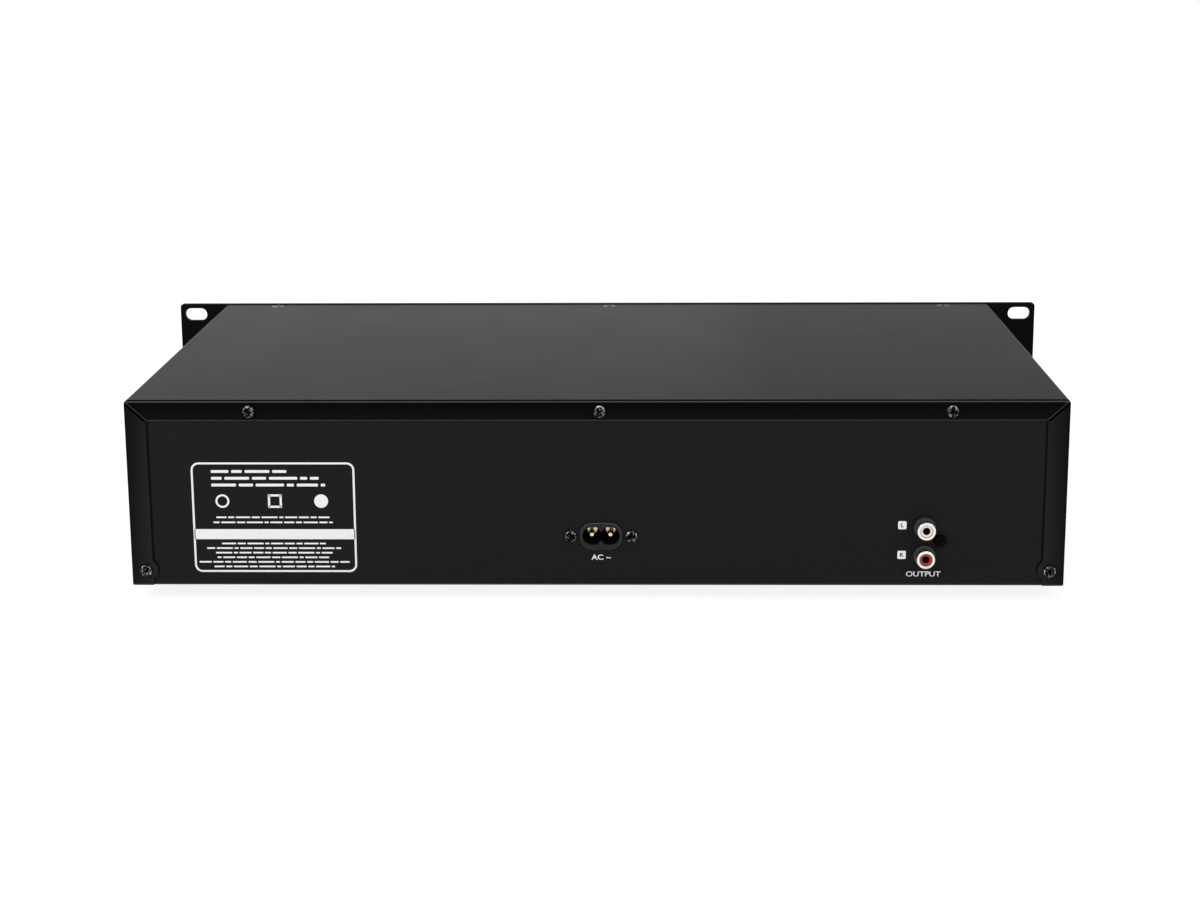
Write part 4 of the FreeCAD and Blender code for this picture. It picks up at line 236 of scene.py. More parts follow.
# ---- materials -----------------------------------------------------------------------------
class Finish:
    """A material under construction: its nodes, and the shader that they feed."""

    def __init__(self, name, base, roughness, metallic=0.0, **constants):
        self.material = bpy.data.materials.new(name)
        self.material.use_nodes = True
        self.tree = self.material.node_tree
        self.shader = self.tree.nodes["Principled BSDF"]
        self.base = (*base, 1.0)
        self.shader.inputs["Base Color"].default_value = self.base
        self.shader.inputs["Roughness"].default_value = roughness
        self.shader.inputs["Metallic"].default_value = metallic
        for socket, value in constants.items():
            self.shader.inputs[socket.replace("_", " ")].default_value = value
        self.object_place = self.add("ShaderNodeTexCoord").outputs["Object"]

    def add(self, kind, **settings):
        node = self.tree.nodes.new(kind)
        for setting, value in settings.items():
            setattr(node, setting, value)
        return node

    def feed(self, socket, source):
        """Sets a socket to a number, a colour or another node's output."""
        if isinstance(source, bpy.types.NodeSocket):
            self.tree.links.new(source, socket)
        else:
            socket.default_value = source

    def mapped(self, scale=(1, 1, 1), location=(0, 0, 0), rotation=(0, 0, 0)):
        """Object coordinates, moved, turned and stretched."""
        node = self.add("ShaderNodeMapping")
        self.feed(node.inputs["Vector"], self.object_place)
        node.inputs["Location"].default_value = location
        node.inputs["Rotation"].default_value = rotation
        node.inputs["Scale"].default_value = scale
        return node.outputs["Vector"]

    def noise(self, grain, detail=2.0, where=None):
        """Noise whose grains measure about the given length in metres."""
        node = self.add("ShaderNodeTexNoise")
        self.feed(node.inputs["Vector"], where or self.object_place)
        node.inputs["Scale"].default_value = 1 / grain
        node.inputs["Detail"].default_value = detail
        return node.outputs["Fac"]

    def math(self, operation, first, second=0.0):
        node = self.add("ShaderNodeMath", operation=operation)
        self.feed(node.inputs[0], first)
        self.feed(node.inputs[1], second)
        return node.outputs["Value"]

    def spread(self, source, low, high, from_low=0.3, from_high=0.7):
        """Stretches a value over a new range."""
        node = self.add("ShaderNodeMapRange")
        self.feed(node.inputs["Value"], source)
        for socket, value in zip(("From Min", "From Max", "To Min", "To Max"), (from_low, from_high, low, high)):
            node.inputs[socket].default_value = value
        return node.outputs["Result"]

    def mixed(self, factor, first, second):
        """Blend of two colours."""
        node = self.add("ShaderNodeMix", data_type="RGBA")
        self.feed(node.inputs["Factor"], factor)
        self.feed(node.inputs["A"], first)
        self.feed(node.inputs["B"], second)
        return node.outputs["Result"]

    def scaled(self, tone, factor):
        """A colour made lighter or darker by a value."""
        node = self.add("ShaderNodeVectorMath", operation="SCALE")
        self.feed(node.inputs[0], tone)
        self.feed(node.inputs["Scale"], factor)
        return node.outputs["Vector"]

    def shade(self, factor):
        """The base colour at a given brightness."""
        return tuple(min(part * factor, 1.0) for part in self.base[:3]) + (1.0,)

    def coordinate(self, axis):
        node = self.add("ShaderNodeSeparateXYZ")
        self.feed(node.inputs["Vector"], self.object_place)
        return node.outputs[axis]

    def from_axis(self, axis, centre):
        """Distance from a line that runs along X, Y or Z through a point."""
        across = [0.0 if name == axis else 1.0 for name in "XYZ"]
        offset = [-part * share for part, share in zip(centre, across)]
        node = self.add("ShaderNodeVectorMath", operation="LENGTH")
        self.feed(node.inputs[0], self.mapped(scale=across, location=offset))
        return node.outputs["Value"]

    def within(self, source, low, high):
        """One where a value lies between two limits, else nothing."""
        above = self.math("GREATER_THAN", source, low)
        below = self.math("LESS_THAN", source, high)
        return self.math("MULTIPLY", above, below)

    def paint_over(self, mask, tone):
        """Lays another colour, or another node's colour, over what the base has so far."""
        socket = self.shader.inputs["Base Color"]
        below = socket.links[0].from_socket if socket.links else self.base
        above = tone if isinstance(tone, bpy.types.NodeSocket) else (*tone, 1.0)
        self.feed(socket, self.mixed(mask, below, above))

    def vary_colour(self, grain, dark=0.85, light=1.15, detail=3.0):
        blend = self.mixed(self.spread(self.noise(grain, detail), 0, 1), self.shade(dark), self.shade(light))
        self.feed(self.shader.inputs["Base Color"], blend)
        return blend

    def vary_roughness(self, grain, low, high, where=None):
        self.feed(self.shader.inputs["Roughness"], self.spread(self.noise(grain, 3.0, where), low, high))

    def dull(self, mask):
        """Makes the surface fully rough where a mask is set, so that it mirrors nothing there."""
        socket = self.shader.inputs["Roughness"]
        below = self.math("MULTIPLY", socket.links[0].from_socket, self.math("SUBTRACT", 1.0, mask))
        self.feed(socket, self.math("ADD", below, mask))

    def emboss(self, height, depth, strength=1.0):
        """Relief of the given depth in metres."""
        node = self.add("ShaderNodeBump")
        node.inputs["Strength"].default_value = strength
        node.inputs["Distance"].default_value = depth
        self.feed(node.inputs["Height"], height)
        self.feed(self.shader.inputs["Normal"], node.outputs["Normal"])


def satin_paint(name, base, gloss, roughness=0.25):
    """Smooth paint with a faint orange peel."""
    finish = Finish(name, base, roughness, Specular_IOR_Level=gloss)
    finish.vary_colour(0.02, 0.9, 1.1)
    finish.vary_roughness(0.03, roughness - 0.015, roughness + 0.015)
    finish.emboss(finish.noise(0.004, 1.0), 0.000002, 0.5)
    return finish


def lobe_distance(finish, seams):
    """Distance outward from the round lobes at the feet of the cover's side lips, and the way there."""
    out = finish.math("ABSOLUTE", finish.coordinate("X"))
    across = finish.math("SUBTRACT", out, CASE[1].x - seams.lobe_inset)
    above = finish.math("SUBTRACT", finish.coordinate("Z"), CASE[0].z + seams.lobe_rise)
    square = finish.math("ADD", finish.math("MULTIPLY", across, across), finish.math("MULTIPLY", above, above))
    return finish.math("SUBTRACT", finish.math("SQRT", square), seams.lobe_radius), across, above


def lower_edge(finish, seams):
    """Painted highlight along the rear's lower edge, with a painted shadow under it."""
    behind = finish.math("GREATER_THAN", finish.coordinate("Y"), WALL_Y - 0.5 * MM)
    height = finish.math("SUBTRACT", finish.coordinate("Z"), CASE[0].z)
    pale = finish.within(height, 0.15 * MM, 0.15 * MM + seams.edge)
    under = finish.math("LESS_THAN", height, 0.15 * MM)
    finish.paint_over(finish.math("MULTIPLY", behind, pale), seams.worn)
    finish.paint_over(finish.math("MULTIPLY", behind, under), seams.painted_shade)


def cover_paint(name, base, gloss):
    """Satin paint, with painted shade across the folded lips on the rear, and painted highlights and shadows along
    their folds, cut edges, mitres and lobes.
    """
    finish = satin_paint(name, base, gloss)
    seams = settings("player_seams")
    x, y, z = (finish.coordinate(axis) for axis in "XYZ")
    from_side = finish.math("SUBTRACT", CASE[1].x, finish.math("ABSOLUTE", x))
    from_top = finish.math("SUBTRACT", CASE[1].z, z)
    side_share = finish.math("DIVIDE", from_side, seams.side_lip)
    top_share = finish.math("DIVIDE", from_top, seams.top_lip)
    lean = finish.math("SUBTRACT", side_share, top_share)
    # Painted shade across the lips: darker at their folds, lighter towards their cut edges, and the side lips
    # lighter towards the bottom.
    side = finish.mixed(side_share, (*seams.side_fold_shading, 1), (*seams.side_edge_shading, 1))
    side = finish.scaled(side, finish.spread(z, 1.2, 0.82, CASE[0].z, CASE[1].z))
    top = finish.mixed(top_share, (*seams.top_fold_shading, 1), (*seams.top_edge_shading, 1))
    on_lip = finish.math("GREATER_THAN", y, CASE[1].y - 0.34 * MM)
    behind = finish.math("GREATER_THAN", y, CASE[1].y - 1.6 * MM)
    finish.paint_over(on_lip, finish.mixed(finish.math("GREATER_THAN", lean, 0), side, top))
    # Painted shadow in the mitre's slit.
    share = seams.mitre / seams.top_lip
    slit = finish.math("MULTIPLY", finish.within(lean, -share, 0.037), finish.math("LESS_THAN", top_share, 1.03))
    finish.paint_over(finish.math("MULTIPLY", slit, behind), seams.painted_shade)
    # Painted highlight along the top lip's cut edge and along the mitre.
    on_top = finish.math("MULTIPLY", on_lip, finish.math("GREATER_THAN", lean, 0.037))
    cut_edge = finish.within(top_share, 0.955, 1.02)
    mitre = finish.math("LESS_THAN", lean, 0.075)
    finish.paint_over(finish.math("MULTIPLY", on_top, finish.math("MAXIMUM", cut_edge, mitre)), seams.worn)
    # Painted shade, with the gloss taken away, where the top bend starts.
    upper = finish.math("LESS_THAN", from_top, 1.3 * MM)
    bend = finish.math("MULTIPLY", upper, finish.within(y, CASE[1].y - seams.bend, CASE[1].y - seams.fold))
    finish.paint_over(bend, seams.painted_shade)
    finish.dull(bend)
    # Painted highlight along the top bend.
    fold = finish.within(y, CASE[1].y - seams.fold, CASE[1].y - 0.3 * MM)
    finish.paint_over(finish.math("MULTIPLY", fold, upper), seams.worn)
    # Painted shade along the case's sides at the rear.
    corner = finish.math("LESS_THAN", from_side, 0.4 * MM)
    finish.paint_over(finish.math("MULTIPLY", corner, behind), seams.painted_shade)
    # Painted highlight on the inner upper rim of each lobe.
    rim, across, above = lobe_distance(finish, seams)
    glint = finish.within(rim, -0.35 * MM, 0.1 * MM)
    inward = finish.math("MULTIPLY", finish.within(above, -0.5 * MM, 3.2 * MM), finish.math("LESS_THAN", across, 0))
    finish.paint_over(finish.math("MULTIPLY", on_lip, finish.math("MULTIPLY", glint, inward)), finish.shade(4.5)[:3])
    lower_edge(finish, seams)
    return finish.material


def chassis_paint(name, base, gloss):
    """Fine powder texture that scatters evenly, with painted shadow in the seams beside the cover's side lips and
    behind the mitres.
    """
    finish = Finish(name, base, 0.6, Specular_IOR_Level=gloss)
    finish.vary_colour(0.0012, 0.85, 1.15, 4.0)
    finish.vary_roughness(0.003, 0.52, 0.68)
    finish.emboss(finish.noise(0.0005, 3.0), 0.00003, 0.7)
    seams = settings("player_seams")
    out = finish.math("ABSOLUTE", finish.coordinate("X"))
    # Painted shadow beside the side lips and round the lobes, fading out below the lobes.
    strip = finish.math("SUBTRACT", CASE[1].x - seams.side_lip, out)
    lobe, _, above = lobe_distance(finish, seams)
    seam = finish.spread(finish.math("MINIMUM", strip, lobe), 1, 0, seams.seam * 0.5, seams.seam * 1.3)
    fade = finish.spread(above, 0, 1, -seams.seam_end, 0)
    finish.paint_over(finish.math("MULTIPLY", seam, fade), seams.painted_shade)
    # Painted shadow behind the mitre between the top lip and each side lip.
    from_top = finish.math("SUBTRACT", CASE[1].z, finish.coordinate("Z"))
    from_side = finish.math("SUBTRACT", CASE[1].x, out)
    lean = finish.math("SUBTRACT", finish.math("DIVIDE", from_side, seams.side_lip),
                       finish.math("DIVIDE", from_top, seams.top_lip))
    mitre = finish.within(lean, -0.06, 0.06)
    finish.paint_over(finish.math("MULTIPLY", mitre, finish.math("LESS_THAN", from_top, seams.top_lip)), seams.painted_shade)
    lower_edge(finish, seams)
    return finish.material


def moulded_plastic(name, base, roughness=0.42, grain=0.0006, gloss=0.4):
    """Moulding with a fine spark-eroded grain."""
    finish = Finish(name, base, roughness, Specular_IOR_Level=gloss)
    finish.vary_colour(0.006, 0.88, 1.12)
    finish.vary_roughness(0.004, roughness - 0.06, roughness + 0.08)
    finish.emboss(finish.noise(grain, 2.0), 0.000015, 0.6)
    return finish.material


def rubber(name, base):
    finish = Finish(name, base, 0.7, Specular_IOR_Level=0.3)
    finish.vary_colour(0.004, 0.8, 1.25)
    finish.vary_roughness(0.002, 0.62, 0.82)
    finish.emboss(finish.noise(0.0008, 4.0), 0.00003)
    return finish.material


def inlet_plastic(name, base, rim_y):
    """Smooth moulding with a painted highlight on its rounded rim and painted shade inside its cavity."""
    finish = Finish(name, base, 0.3, Specular_IOR_Level=0.12)
    finish.vary_colour(0.006, 0.9, 1.1)
    finish.emboss(finish.noise(0.0008, 2.0), 0.000006, 0.5)
    depth = finish.math("SUBTRACT", rim_y, finish.coordinate("Y"))
    # Painted highlight on the rim's rounded faces.
    facing = finish.add("ShaderNodeSeparateXYZ")
    finish.feed(facing.inputs["Vector"], finish.add("ShaderNodeTexCoord").outputs["Normal"])
    rounded = finish.within(facing.outputs["Y"], 0.2, 0.93)
    at_rim = finish.math("LESS_THAN", depth, 0.55 * MM)
    finish.paint_over(finish.math("MULTIPLY", rounded, at_rim), (0.07, 0.072, 0.076))
    # Painted shade deeper in the cavity, where the moulding turns rough.
    inside = finish.spread(depth, 0, 1, 0.6 * MM, 2.0 * MM)
    finish.paint_over(inside, finish.shade(0.03)[:3])
    finish.feed(finish.shader.inputs["Roughness"], finish.spread(inside, 0.3, 0.9, 0, 1))
    return finish.material


def insulator(name, base, hole, node):
    """Coloured insulator of a line socket, with painted shade in its hole over the dark red of the inner part, and a
    painted shadow of the shell round its rim.
    """
    finish = Finish(name, base, 0.32, Specular_IOR_Level=0.45)
    finish.vary_colour(0.004, 0.94, 1.04)
    finish.vary_roughness(0.003, 0.26, 0.4)
    finish.emboss(finish.noise(0.0006, 2.0), 0.000008, 0.5)
    low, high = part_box(node)
    radius = finish.from_axis("Y", (low + high) / 2)
    # Painted shadow of the shell round the rim, and painted shade in the hole.
    finish.paint_over(finish.math("GREATER_THAN", radius, (high.x - low.x) / 2 - 0.22 * MM), finish.shade(0.35)[:3])
    finish.paint_over(finish.math("LESS_THAN", radius, 1.8 * MM), hole)
    return finish.material


def plated_metal(name, base, roughness=0.28, brushed=(1, 1, 1)):
    """Plating with fine scratches along one direction."""
    finish = Finish(name, base, roughness, 1.0)
    finish.vary_colour(0.003, 0.85, 1.1)
    grain = finish.mapped(scale=brushed)
    finish.vary_roughness(0.0015, roughness - 0.07, roughness + 0.12, grain)
    finish.emboss(finish.noise(0.0006, 3.0, grain), 0.000004, 0.7)
    return finish.material


def worn_plating(name, base, bright, low=0.4, high=0.6):
    """Plating with painted highlights in patches."""
    finish = Finish(name, base, 0.3, 1.0)
    patches = finish.spread(finish.noise(0.0014, 2.0), 0, 1, low, high)
    finish.feed(finish.shader.inputs["Base Color"], finish.mixed(patches, finish.shade(0.12), finish.shade(bright)))
    finish.vary_roughness(0.002, 0.22, 0.36)
    finish.emboss(finish.noise(0.0006, 3.0), 0.000006, 0.7)
    return finish.material


def jog_finish(name, grip, face, node):
    """Grained grip round a turned metal face."""
    finish = Finish(name, grip, 0.45, Specular_IOR_Level=0.4)
    finish.vary_colour(0.005, 0.88, 1.12)
    low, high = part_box(node)
    radius = finish.from_axis("Y", (low + high) / 2)
    metal = finish.math("LESS_THAN", radius, (high.x - low.x) / 2 - 5.1 * MM)
    finish.feed(finish.shader.inputs["Metallic"], metal)
    turned = finish.math("SINE", finish.math("MULTIPLY", radius, 2 * math.pi / (0.9 * MM)))
    ring_tone = finish.mixed(finish.spread(turned, 0, 1, -1, 1), (*face * 0.8, 1), (*face * 1.25, 1))
    finish.paint_over(metal, ring_tone)
    finish.feed(finish.shader.inputs["Roughness"], finish.spread(turned, 0.24, 0.42, -1, 1))
    grip_grain = finish.math("MULTIPLY", finish.noise(0.0006, 2.0), finish.math("SUBTRACT", 1.0, metal))
    finish.emboss(finish.math("ADD", grip_grain, finish.math("MULTIPLY", turned, metal)), 0.000008, 0.8)
    return finish.material


def platter_finish(name, base, node):
    """Moulded platter with a ring of soft rubber where the disc lies."""
    finish = Finish(name, base, 0.5, Specular_IOR_Level=0.35)
    finish.vary_colour(0.004, 0.88, 1.12)
    finish.emboss(finish.noise(0.0008, 2.0), 0.000012, 0.6)
    radius = finish.from_axis("Z", sum(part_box(node), Vector()) / 2)
    pad = finish.within(radius, 9.5 * MM, 13.6 * MM)
    finish.paint_over(pad, (0.006, 0.006, 0.006))
    finish.feed(finish.shader.inputs["Roughness"], finish.spread(pad, 0.4, 0.8, 0, 1))
    return finish.material


def display_finish(name, base):
    """Grained bezel round a dark glass."""
    finish = Finish(name, base, 0.5, Specular_IOR_Level=0.4)
    finish.vary_colour(0.004, 0.88, 1.12)
    low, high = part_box("display_modules")
    glass = finish.math("GREATER_THAN", finish.coordinate("Y"), low.y + 0.9 * MM)
    finish.paint_over(glass, (0.004, 0.006, 0.006))
    finish.feed(finish.shader.inputs["Roughness"], finish.spread(glass, 0.5, 0.12, 0, 1))
    finish.emboss(finish.noise(0.0006, 2.0), 0.000008, 0.5)
    return finish.material


def power_finish(name, core, tape, sleeve):
    """Laminated transformer core in its winding tape, and sleeved capacitors with bright tops."""
    finish = Finish(name, core, 0.45, Specular_IOR_Level=0.4)
    finish.vary_colour(0.004, 0.85, 1.15)
    y = finish.coordinate("Y")
    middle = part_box("power_parts")[1].y - 17 * MM
    cans = finish.math("LESS_THAN", y, middle - 18 * MM)
    leaves = finish.math("SINE", finish.math("MULTIPLY", y, 2 * math.pi / MM))
    from_middle = finish.math("ABSOLUTE", finish.math("SUBTRACT", y, middle))
    finish.paint_over(finish.math("GREATER_THAN", from_middle, 14.05 * MM), tape)
    finish.paint_over(cans, sleeve)
    facing = finish.add("ShaderNodeSeparateXYZ")
    finish.feed(facing.inputs["Vector"], finish.add("ShaderNodeTexCoord").outputs["Normal"])
    caps = finish.math("MULTIPLY", cans, finish.math("GREATER_THAN", facing.outputs["Z"], 0.9))
    finish.paint_over(caps, (0.6, 0.6, 0.6))
    finish.feed(finish.shader.inputs["Metallic"], caps)
    finish.vary_roughness(0.003, 0.36, 0.56)
    finish.emboss(leaves, 0.00002, 0.6)
    return finish.material


def ink(name, base):
    """Screen print, slightly uneven and matte."""
    finish = Finish(name, base, 0.5, Specular_IOR_Level=0.3)
    finish.vary_colour(0.001, 0.94, 1.0)
    finish.vary_roughness(0.0008, 0.42, 0.6)
    finish.emboss(finish.noise(0.0002, 2.0), 0.000006)
    return finish.material


def circuit_board(name, base):
    """Solder mask over traces, with tinned pads."""
    finish = Finish(name, base, 0.35)
    cells = finish.add("ShaderNodeTexVoronoi", distance="MANHATTAN", feature="DISTANCE_TO_EDGE")
    finish.feed(cells.inputs["Vector"], finish.object_place)
    cells.inputs["Scale"].default_value = 1 / 0.006
    trace = finish.within(cells.outputs["Distance"], 0.05, 0.11)
    dots = finish.add("ShaderNodeTexVoronoi")
    finish.feed(dots.inputs["Vector"], finish.object_place)
    dots.inputs["Scale"].default_value = 1 / 0.0045
    pad = finish.math("LESS_THAN", dots.outputs["Distance"], 0.16)
    masked = finish.mixed(trace, finish.shade(1.0), finish.shade(1.9))
    finish.feed(finish.shader.inputs["Base Color"], finish.mixed(pad, masked, (0.55, 0.55, 0.53, 1)))
    finish.feed(finish.shader.inputs["Metallic"], pad)
    finish.vary_roughness(0.004, 0.28, 0.42)
    finish.emboss(finish.math("MAXIMUM", trace, pad), 0.00003)
    return finish.material


def smoked_window(name, tint):
    """Tinted clear acrylic."""
    finish = Finish(name, tint, 0.01, Transmission_Weight=1.0, IOR=1.49, Specular_IOR_Level=0.15)
    finish.vary_colour(0.02, 0.95, 1.05)
    finish.vary_roughness(0.01, 0.0, 0.015)
    finish.emboss(finish.noise(0.03, 1.0), 0.000001, 0.2)
    return finish.material


def coated_glass(name, base):
    """Dark glass with a coloured coating."""
    finish = Finish(name, base, 0.05, Specular_IOR_Level=0.9, Coat_Weight=1.0)
    finish.vary_colour(0.002, 0.9, 1.1)
    finish.vary_roughness(0.002, 0.03, 0.08)
    finish.emboss(finish.noise(0.004, 1.0), 0.000002, 0.3)
    return finish.material


# ---- mesh tools ----------------------------------------------------------------------------
def settings(group):
    return getattr(bpy.context.scene, group)


def dress(node, material):
    """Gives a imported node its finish."""
    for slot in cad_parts[node].material_slots:
        slot.material = material


def add_piece(name, bm, body, materials, smooth=None):
    """Makes a finished bmesh a piece that rides on a body."""
    mesh = bpy.data.meshes.new(name)
    bm.to_mesh(mesh)
    bm.free()
    if smooth is not None:
        mesh.shade_smooth()
        mesh.set_sharp_from_angle(angle=smooth)
    piece = bpy.data.objects.new(name, mesh)
    bpy.context.scene.collection.objects.link(piece)
    for material in materials:
        mesh.materials.append(material)
    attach(piece, body)
    return piece


def solids(node):
    """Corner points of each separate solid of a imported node."""
    bm = bmesh.new()
    bm.from_mesh(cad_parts[node].data)
    bmesh.ops.remove_doubles(bm, verts=bm.verts, dist=MERGE)
    waiting = set(bm.verts)
    found = []
    while waiting:
        border = [waiting.pop()]
        solid = []
        while border:
            vert = border.pop()
            solid.append(vert.co.copy())
            for edge in vert.link_edges:
                other = edge.other_vert(vert)
                if other in waiting:
                    waiting.remove(other)
                    border.append(other)
        found.append(solid)
    bm.free()
    return found


def corners(points):
    """Lowest and highest corner of some points."""
    low = Vector(min(point[axis] for point in points) for axis in range(3))
    high = Vector(max(point[axis] for point in points) for axis in range(3))
    return low, high


def polygon(bm, points):
    """Flat face on the XY plane."""
    return bm.faces.new([bm.verts.new((x, y, 0)) for x, y in points])


def rectangle(bm, x, y, width, height, corner=0.0):
    """Rectangle about a middle point, with rounded corners."""
    others = set(bm.faces)
    half_w, half_h = width / 2, height / 2
    face = polygon(bm, [(x - half_w, y - half_h), (x + half_w, y - half_h),
                        (x + half_w, y + half_h), (x - half_w, y + half_h)])
    if corner:
        bmesh.ops.bevel(bm, geom=list(face.verts), offset=corner, offset_type="OFFSET",
                        segments=8, profile=0.5, affect="VERTICES", material=-1)
    return next(face for face in bm.faces if face not in others)


def ring(bm, x, y, radius, line, steps=48):
    """Flat ring about a middle point."""
    spot = Matrix.Translation((x, y, 0))
    disc = bmesh.ops.create_circle(bm, cap_ends=True, radius=radius, segments=steps, matrix=spot)
    face = disc["verts"][0].link_faces[0]
    hollow(bm, face, line)


def hollow(bm, face, line):
    """Leaves only a line along a face's outline."""
    bmesh.ops.inset_region(bm, faces=[face], thickness=line, use_even_offset=True, use_boundary=True)
    bmesh.ops.delete(bm, geom=[face], context="FACES_ONLY")


def turned_bar(bm, middle, angle, reach, length, width):
    """Short bar that points away from a middle point, like a tick of a dial."""
    x, y = middle
    face = rectangle(bm, x + reach + length / 2, y, length, width)
    bmesh.ops.rotate(bm, cent=(x, y, 0), matrix=Matrix.Rotation(angle, 3, "Z"), verts=face.verts)


def arc(bm, middle, radius, line, start, sweep, steps=32):
    """Flat part of a ring, swept from a start angle."""
    x, y = middle
    ends = [bm.verts.new((x + reach * math.cos(start), y + reach * math.sin(start), 0))
            for reach in (radius - line, radius)]
    bmesh.ops.spin(bm, geom=[*ends, bm.edges.new(ends)], cent=(x, y, 0), axis=(0, 0, 1), angle=sweep, steps=steps)


def printed(name, bm, body, material, spot, thickness):
    """Turns flat faces into ink of a given thickness, set against a surface."""
    raised = bmesh.ops.extrude_face_region(bm, geom=list(bm.faces))
    verts = [item for item in raised["geom"] if isinstance(item, bmesh.types.BMVert)]
    bmesh.ops.translate(bm, vec=(0, 0, thickness), verts=verts)
    bmesh.ops.recalc_face_normals(bm, faces=bm.faces)
    bmesh.ops.transform(bm, matrix=spot, verts=bm.verts)
    return add_piece(name, bm, body, [material])


def lettering(bm, words, height, x=0.0, y=0.0, width=None, weight=0.0):
    """Adds flat lettering, centred on a point, its capitals as tall as asked, stretched to a width."""
    curve = bpy.data.curves.new("lettering", "FONT")
    curve.body = words
    curve.offset = weight
    writer = bpy.data.objects.new("lettering", curve)
    bpy.context.scene.collection.objects.link(writer)
    bpy.context.view_layer.update()
    flat = bpy.data.meshes.new_from_object(writer.evaluated_get(bpy.context.evaluated_depsgraph_get()))
    low, high = corners([vert.co for vert in flat.vertices])
    tall = height / 0.7
    wide = width / (high.x - low.x) if width else tall
    flat.transform(Matrix.Translation((x, y, 0)) @ Matrix.Diagonal((wide, tall, 1, 1))
                   @ Matrix.Translation((-(low.x + high.x) / 2, -0.35, 0)))
    bm.from_mesh(flat)
    bpy.data.objects.remove(writer)
    bpy.data.curves.remove(curve)
    bpy.data.meshes.remove(flat)


# ---- screws --------------------------------------------------------------------------------
def screw_seats(node):
    """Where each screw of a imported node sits: head's outer face, direction of the head, radius, length."""
    for points in solids(node):
        low, high = corners(points)
        spans = high - low
        along = min(range(3), key=lambda i: abs(spans[i - 1] - spans[i - 2]))
        middle = (low + high) / 2
        radius = spans[along - 1] / 2
        rim = [p[along] for p in points if ((p - middle) - AXES[along] * (p - middle)[along]).length > 0.95 * radius]
        outward = AXES[along] if sum(rim) / len(rim) > middle[along] else -AXES[along]
        yield middle + outward * spans[along] / 2, outward, radius, spans[along]


def cross_recess(bm, radius, z):
    """Cross sunk in a flat round top, and the edges of the top's rim."""
    sizes = settings("player_screws")
    reach = radius * sizes.arm
    half = reach * sizes.arm_width / 2
    quarter = [(half, half), (half, reach), (-half, reach)]
    outline = []
    for step in range(4):
        outline += [Matrix.Rotation(step * math.pi / 2, 2) @ Vector(point) for point in quarter]
    verts = [bm.verts.new((x, y, z)) for x, y in outline]
    mouth = [bm.edges.new((verts[i - 1], verts[i])) for i in range(len(verts))]
    rim = bmesh.ops.create_circle(bm, radius=radius, segments=32, matrix=Matrix.Translation((0, 0, z)))
    rim_edges = list({edge for vert in rim["verts"] for edge in vert.link_edges})
    bmesh.ops.bridge_loops(bm, edges=mouth + rim_edges)
    sunk = bmesh.ops.extrude_edge_only(bm, edges=mouth)
    floor = [item for item in sunk["geom"] if isinstance(item, bmesh.types.BMVert)]
    bmesh.ops.scale(bm, vec=(0.62, 0.62, 1), verts=floor)
    bmesh.ops.translate(bm, vec=(0, 0, -sizes.depth), verts=floor)
    edges = [item for item in sunk["geom"] if isinstance(item, bmesh.types.BMEdge)
             and all(vert in floor for vert in item.verts)]
    bmesh.ops.contextual_create(bm, geom=edges)
    return rim_edges


def drawn_down(bm, edges, profile):
    """Extrudes a rim through the radii and heights of a profile, and closes its end."""
    for radius, z in profile:
        step = bmesh.ops.extrude_edge_only(bm, edges=edges)
        verts = [item for item in step["geom"] if isinstance(item, bmesh.types.BMVert)]
        edges = [item for item in step["geom"] if isinstance(item, bmesh.types.BMEdge)
                 and all(vert in verts for vert in item.verts)]
        now = verts[0].co.xy.length
        bmesh.ops.scale(bm, vec=(radius / now, radius / now, 1), verts=verts)
        bmesh.ops.translate(bm, vec=(0, 0, z - verts[0].co.z), verts=verts)
    bmesh.ops.contextual_create(bm, geom=edges)


def shank(radius, top, end):
    """Profile of a threaded shank with a blunt tip."""
    sizes = settings("player_screws")
    turns = int((top - end) / sizes.thread_pitch) - 1
    profile = [(radius, top)]
    for ridge in range(turns):
        z = top - (ridge + 0.5) * sizes.thread_pitch
        profile.append((radius - sizes.thread_depth, z))
        profile.append((radius, z - sizes.thread_pitch / 2))
    profile.append((radius - 0.4 * MM, end))
    return profile


def pan_profile(radius, length_all, core):
    """Domed head from its flat top down to the tip."""
    height = 2.0 * MM
    flat = radius * settings("player_screws").flat
    dome = []
    for step in range(1, 6):
        angle = step * math.pi / 10
        dome.append((flat + (radius - flat) * math.sin(angle), -0.75 * height * (1 - math.cos(angle))))
    return dome + [(radius, -height)] + shank(core, -height, -length_all)


def sink_profile(radius, length_all, core):
    """Countersunk head from its flat top down to the tip."""
    land = 0.2 * MM
    cone = radius - core
    return [(radius, -0.05 * MM), (radius, -land)] + shank(core, -land - cone, -length_all)


def paint_glints_and_shade(bm, radius, reach, blackened):
    """Marks a screw's faces: painted highlights on the rim and the recess walls, painted shade on the recess floor,
    and the black plating of a blackened screw.
    """
    sizes = settings("player_screws")
    for face in bm.faces:
        middle = face.calc_center_median()
        from_axis, upright = middle.xy.length, abs(face.normal.z) < 0.9
        in_recess = from_axis < reach and -sizes.depth - MM / 10 < middle.z < -MM / 20
        if in_recess:
            face.material_index = 1 if upright else 2
        elif from_axis > sizes.glint_rim * radius and not blackened:
            face.material_index = 1
        else:
            face.material_index = 2 if blackened else 0


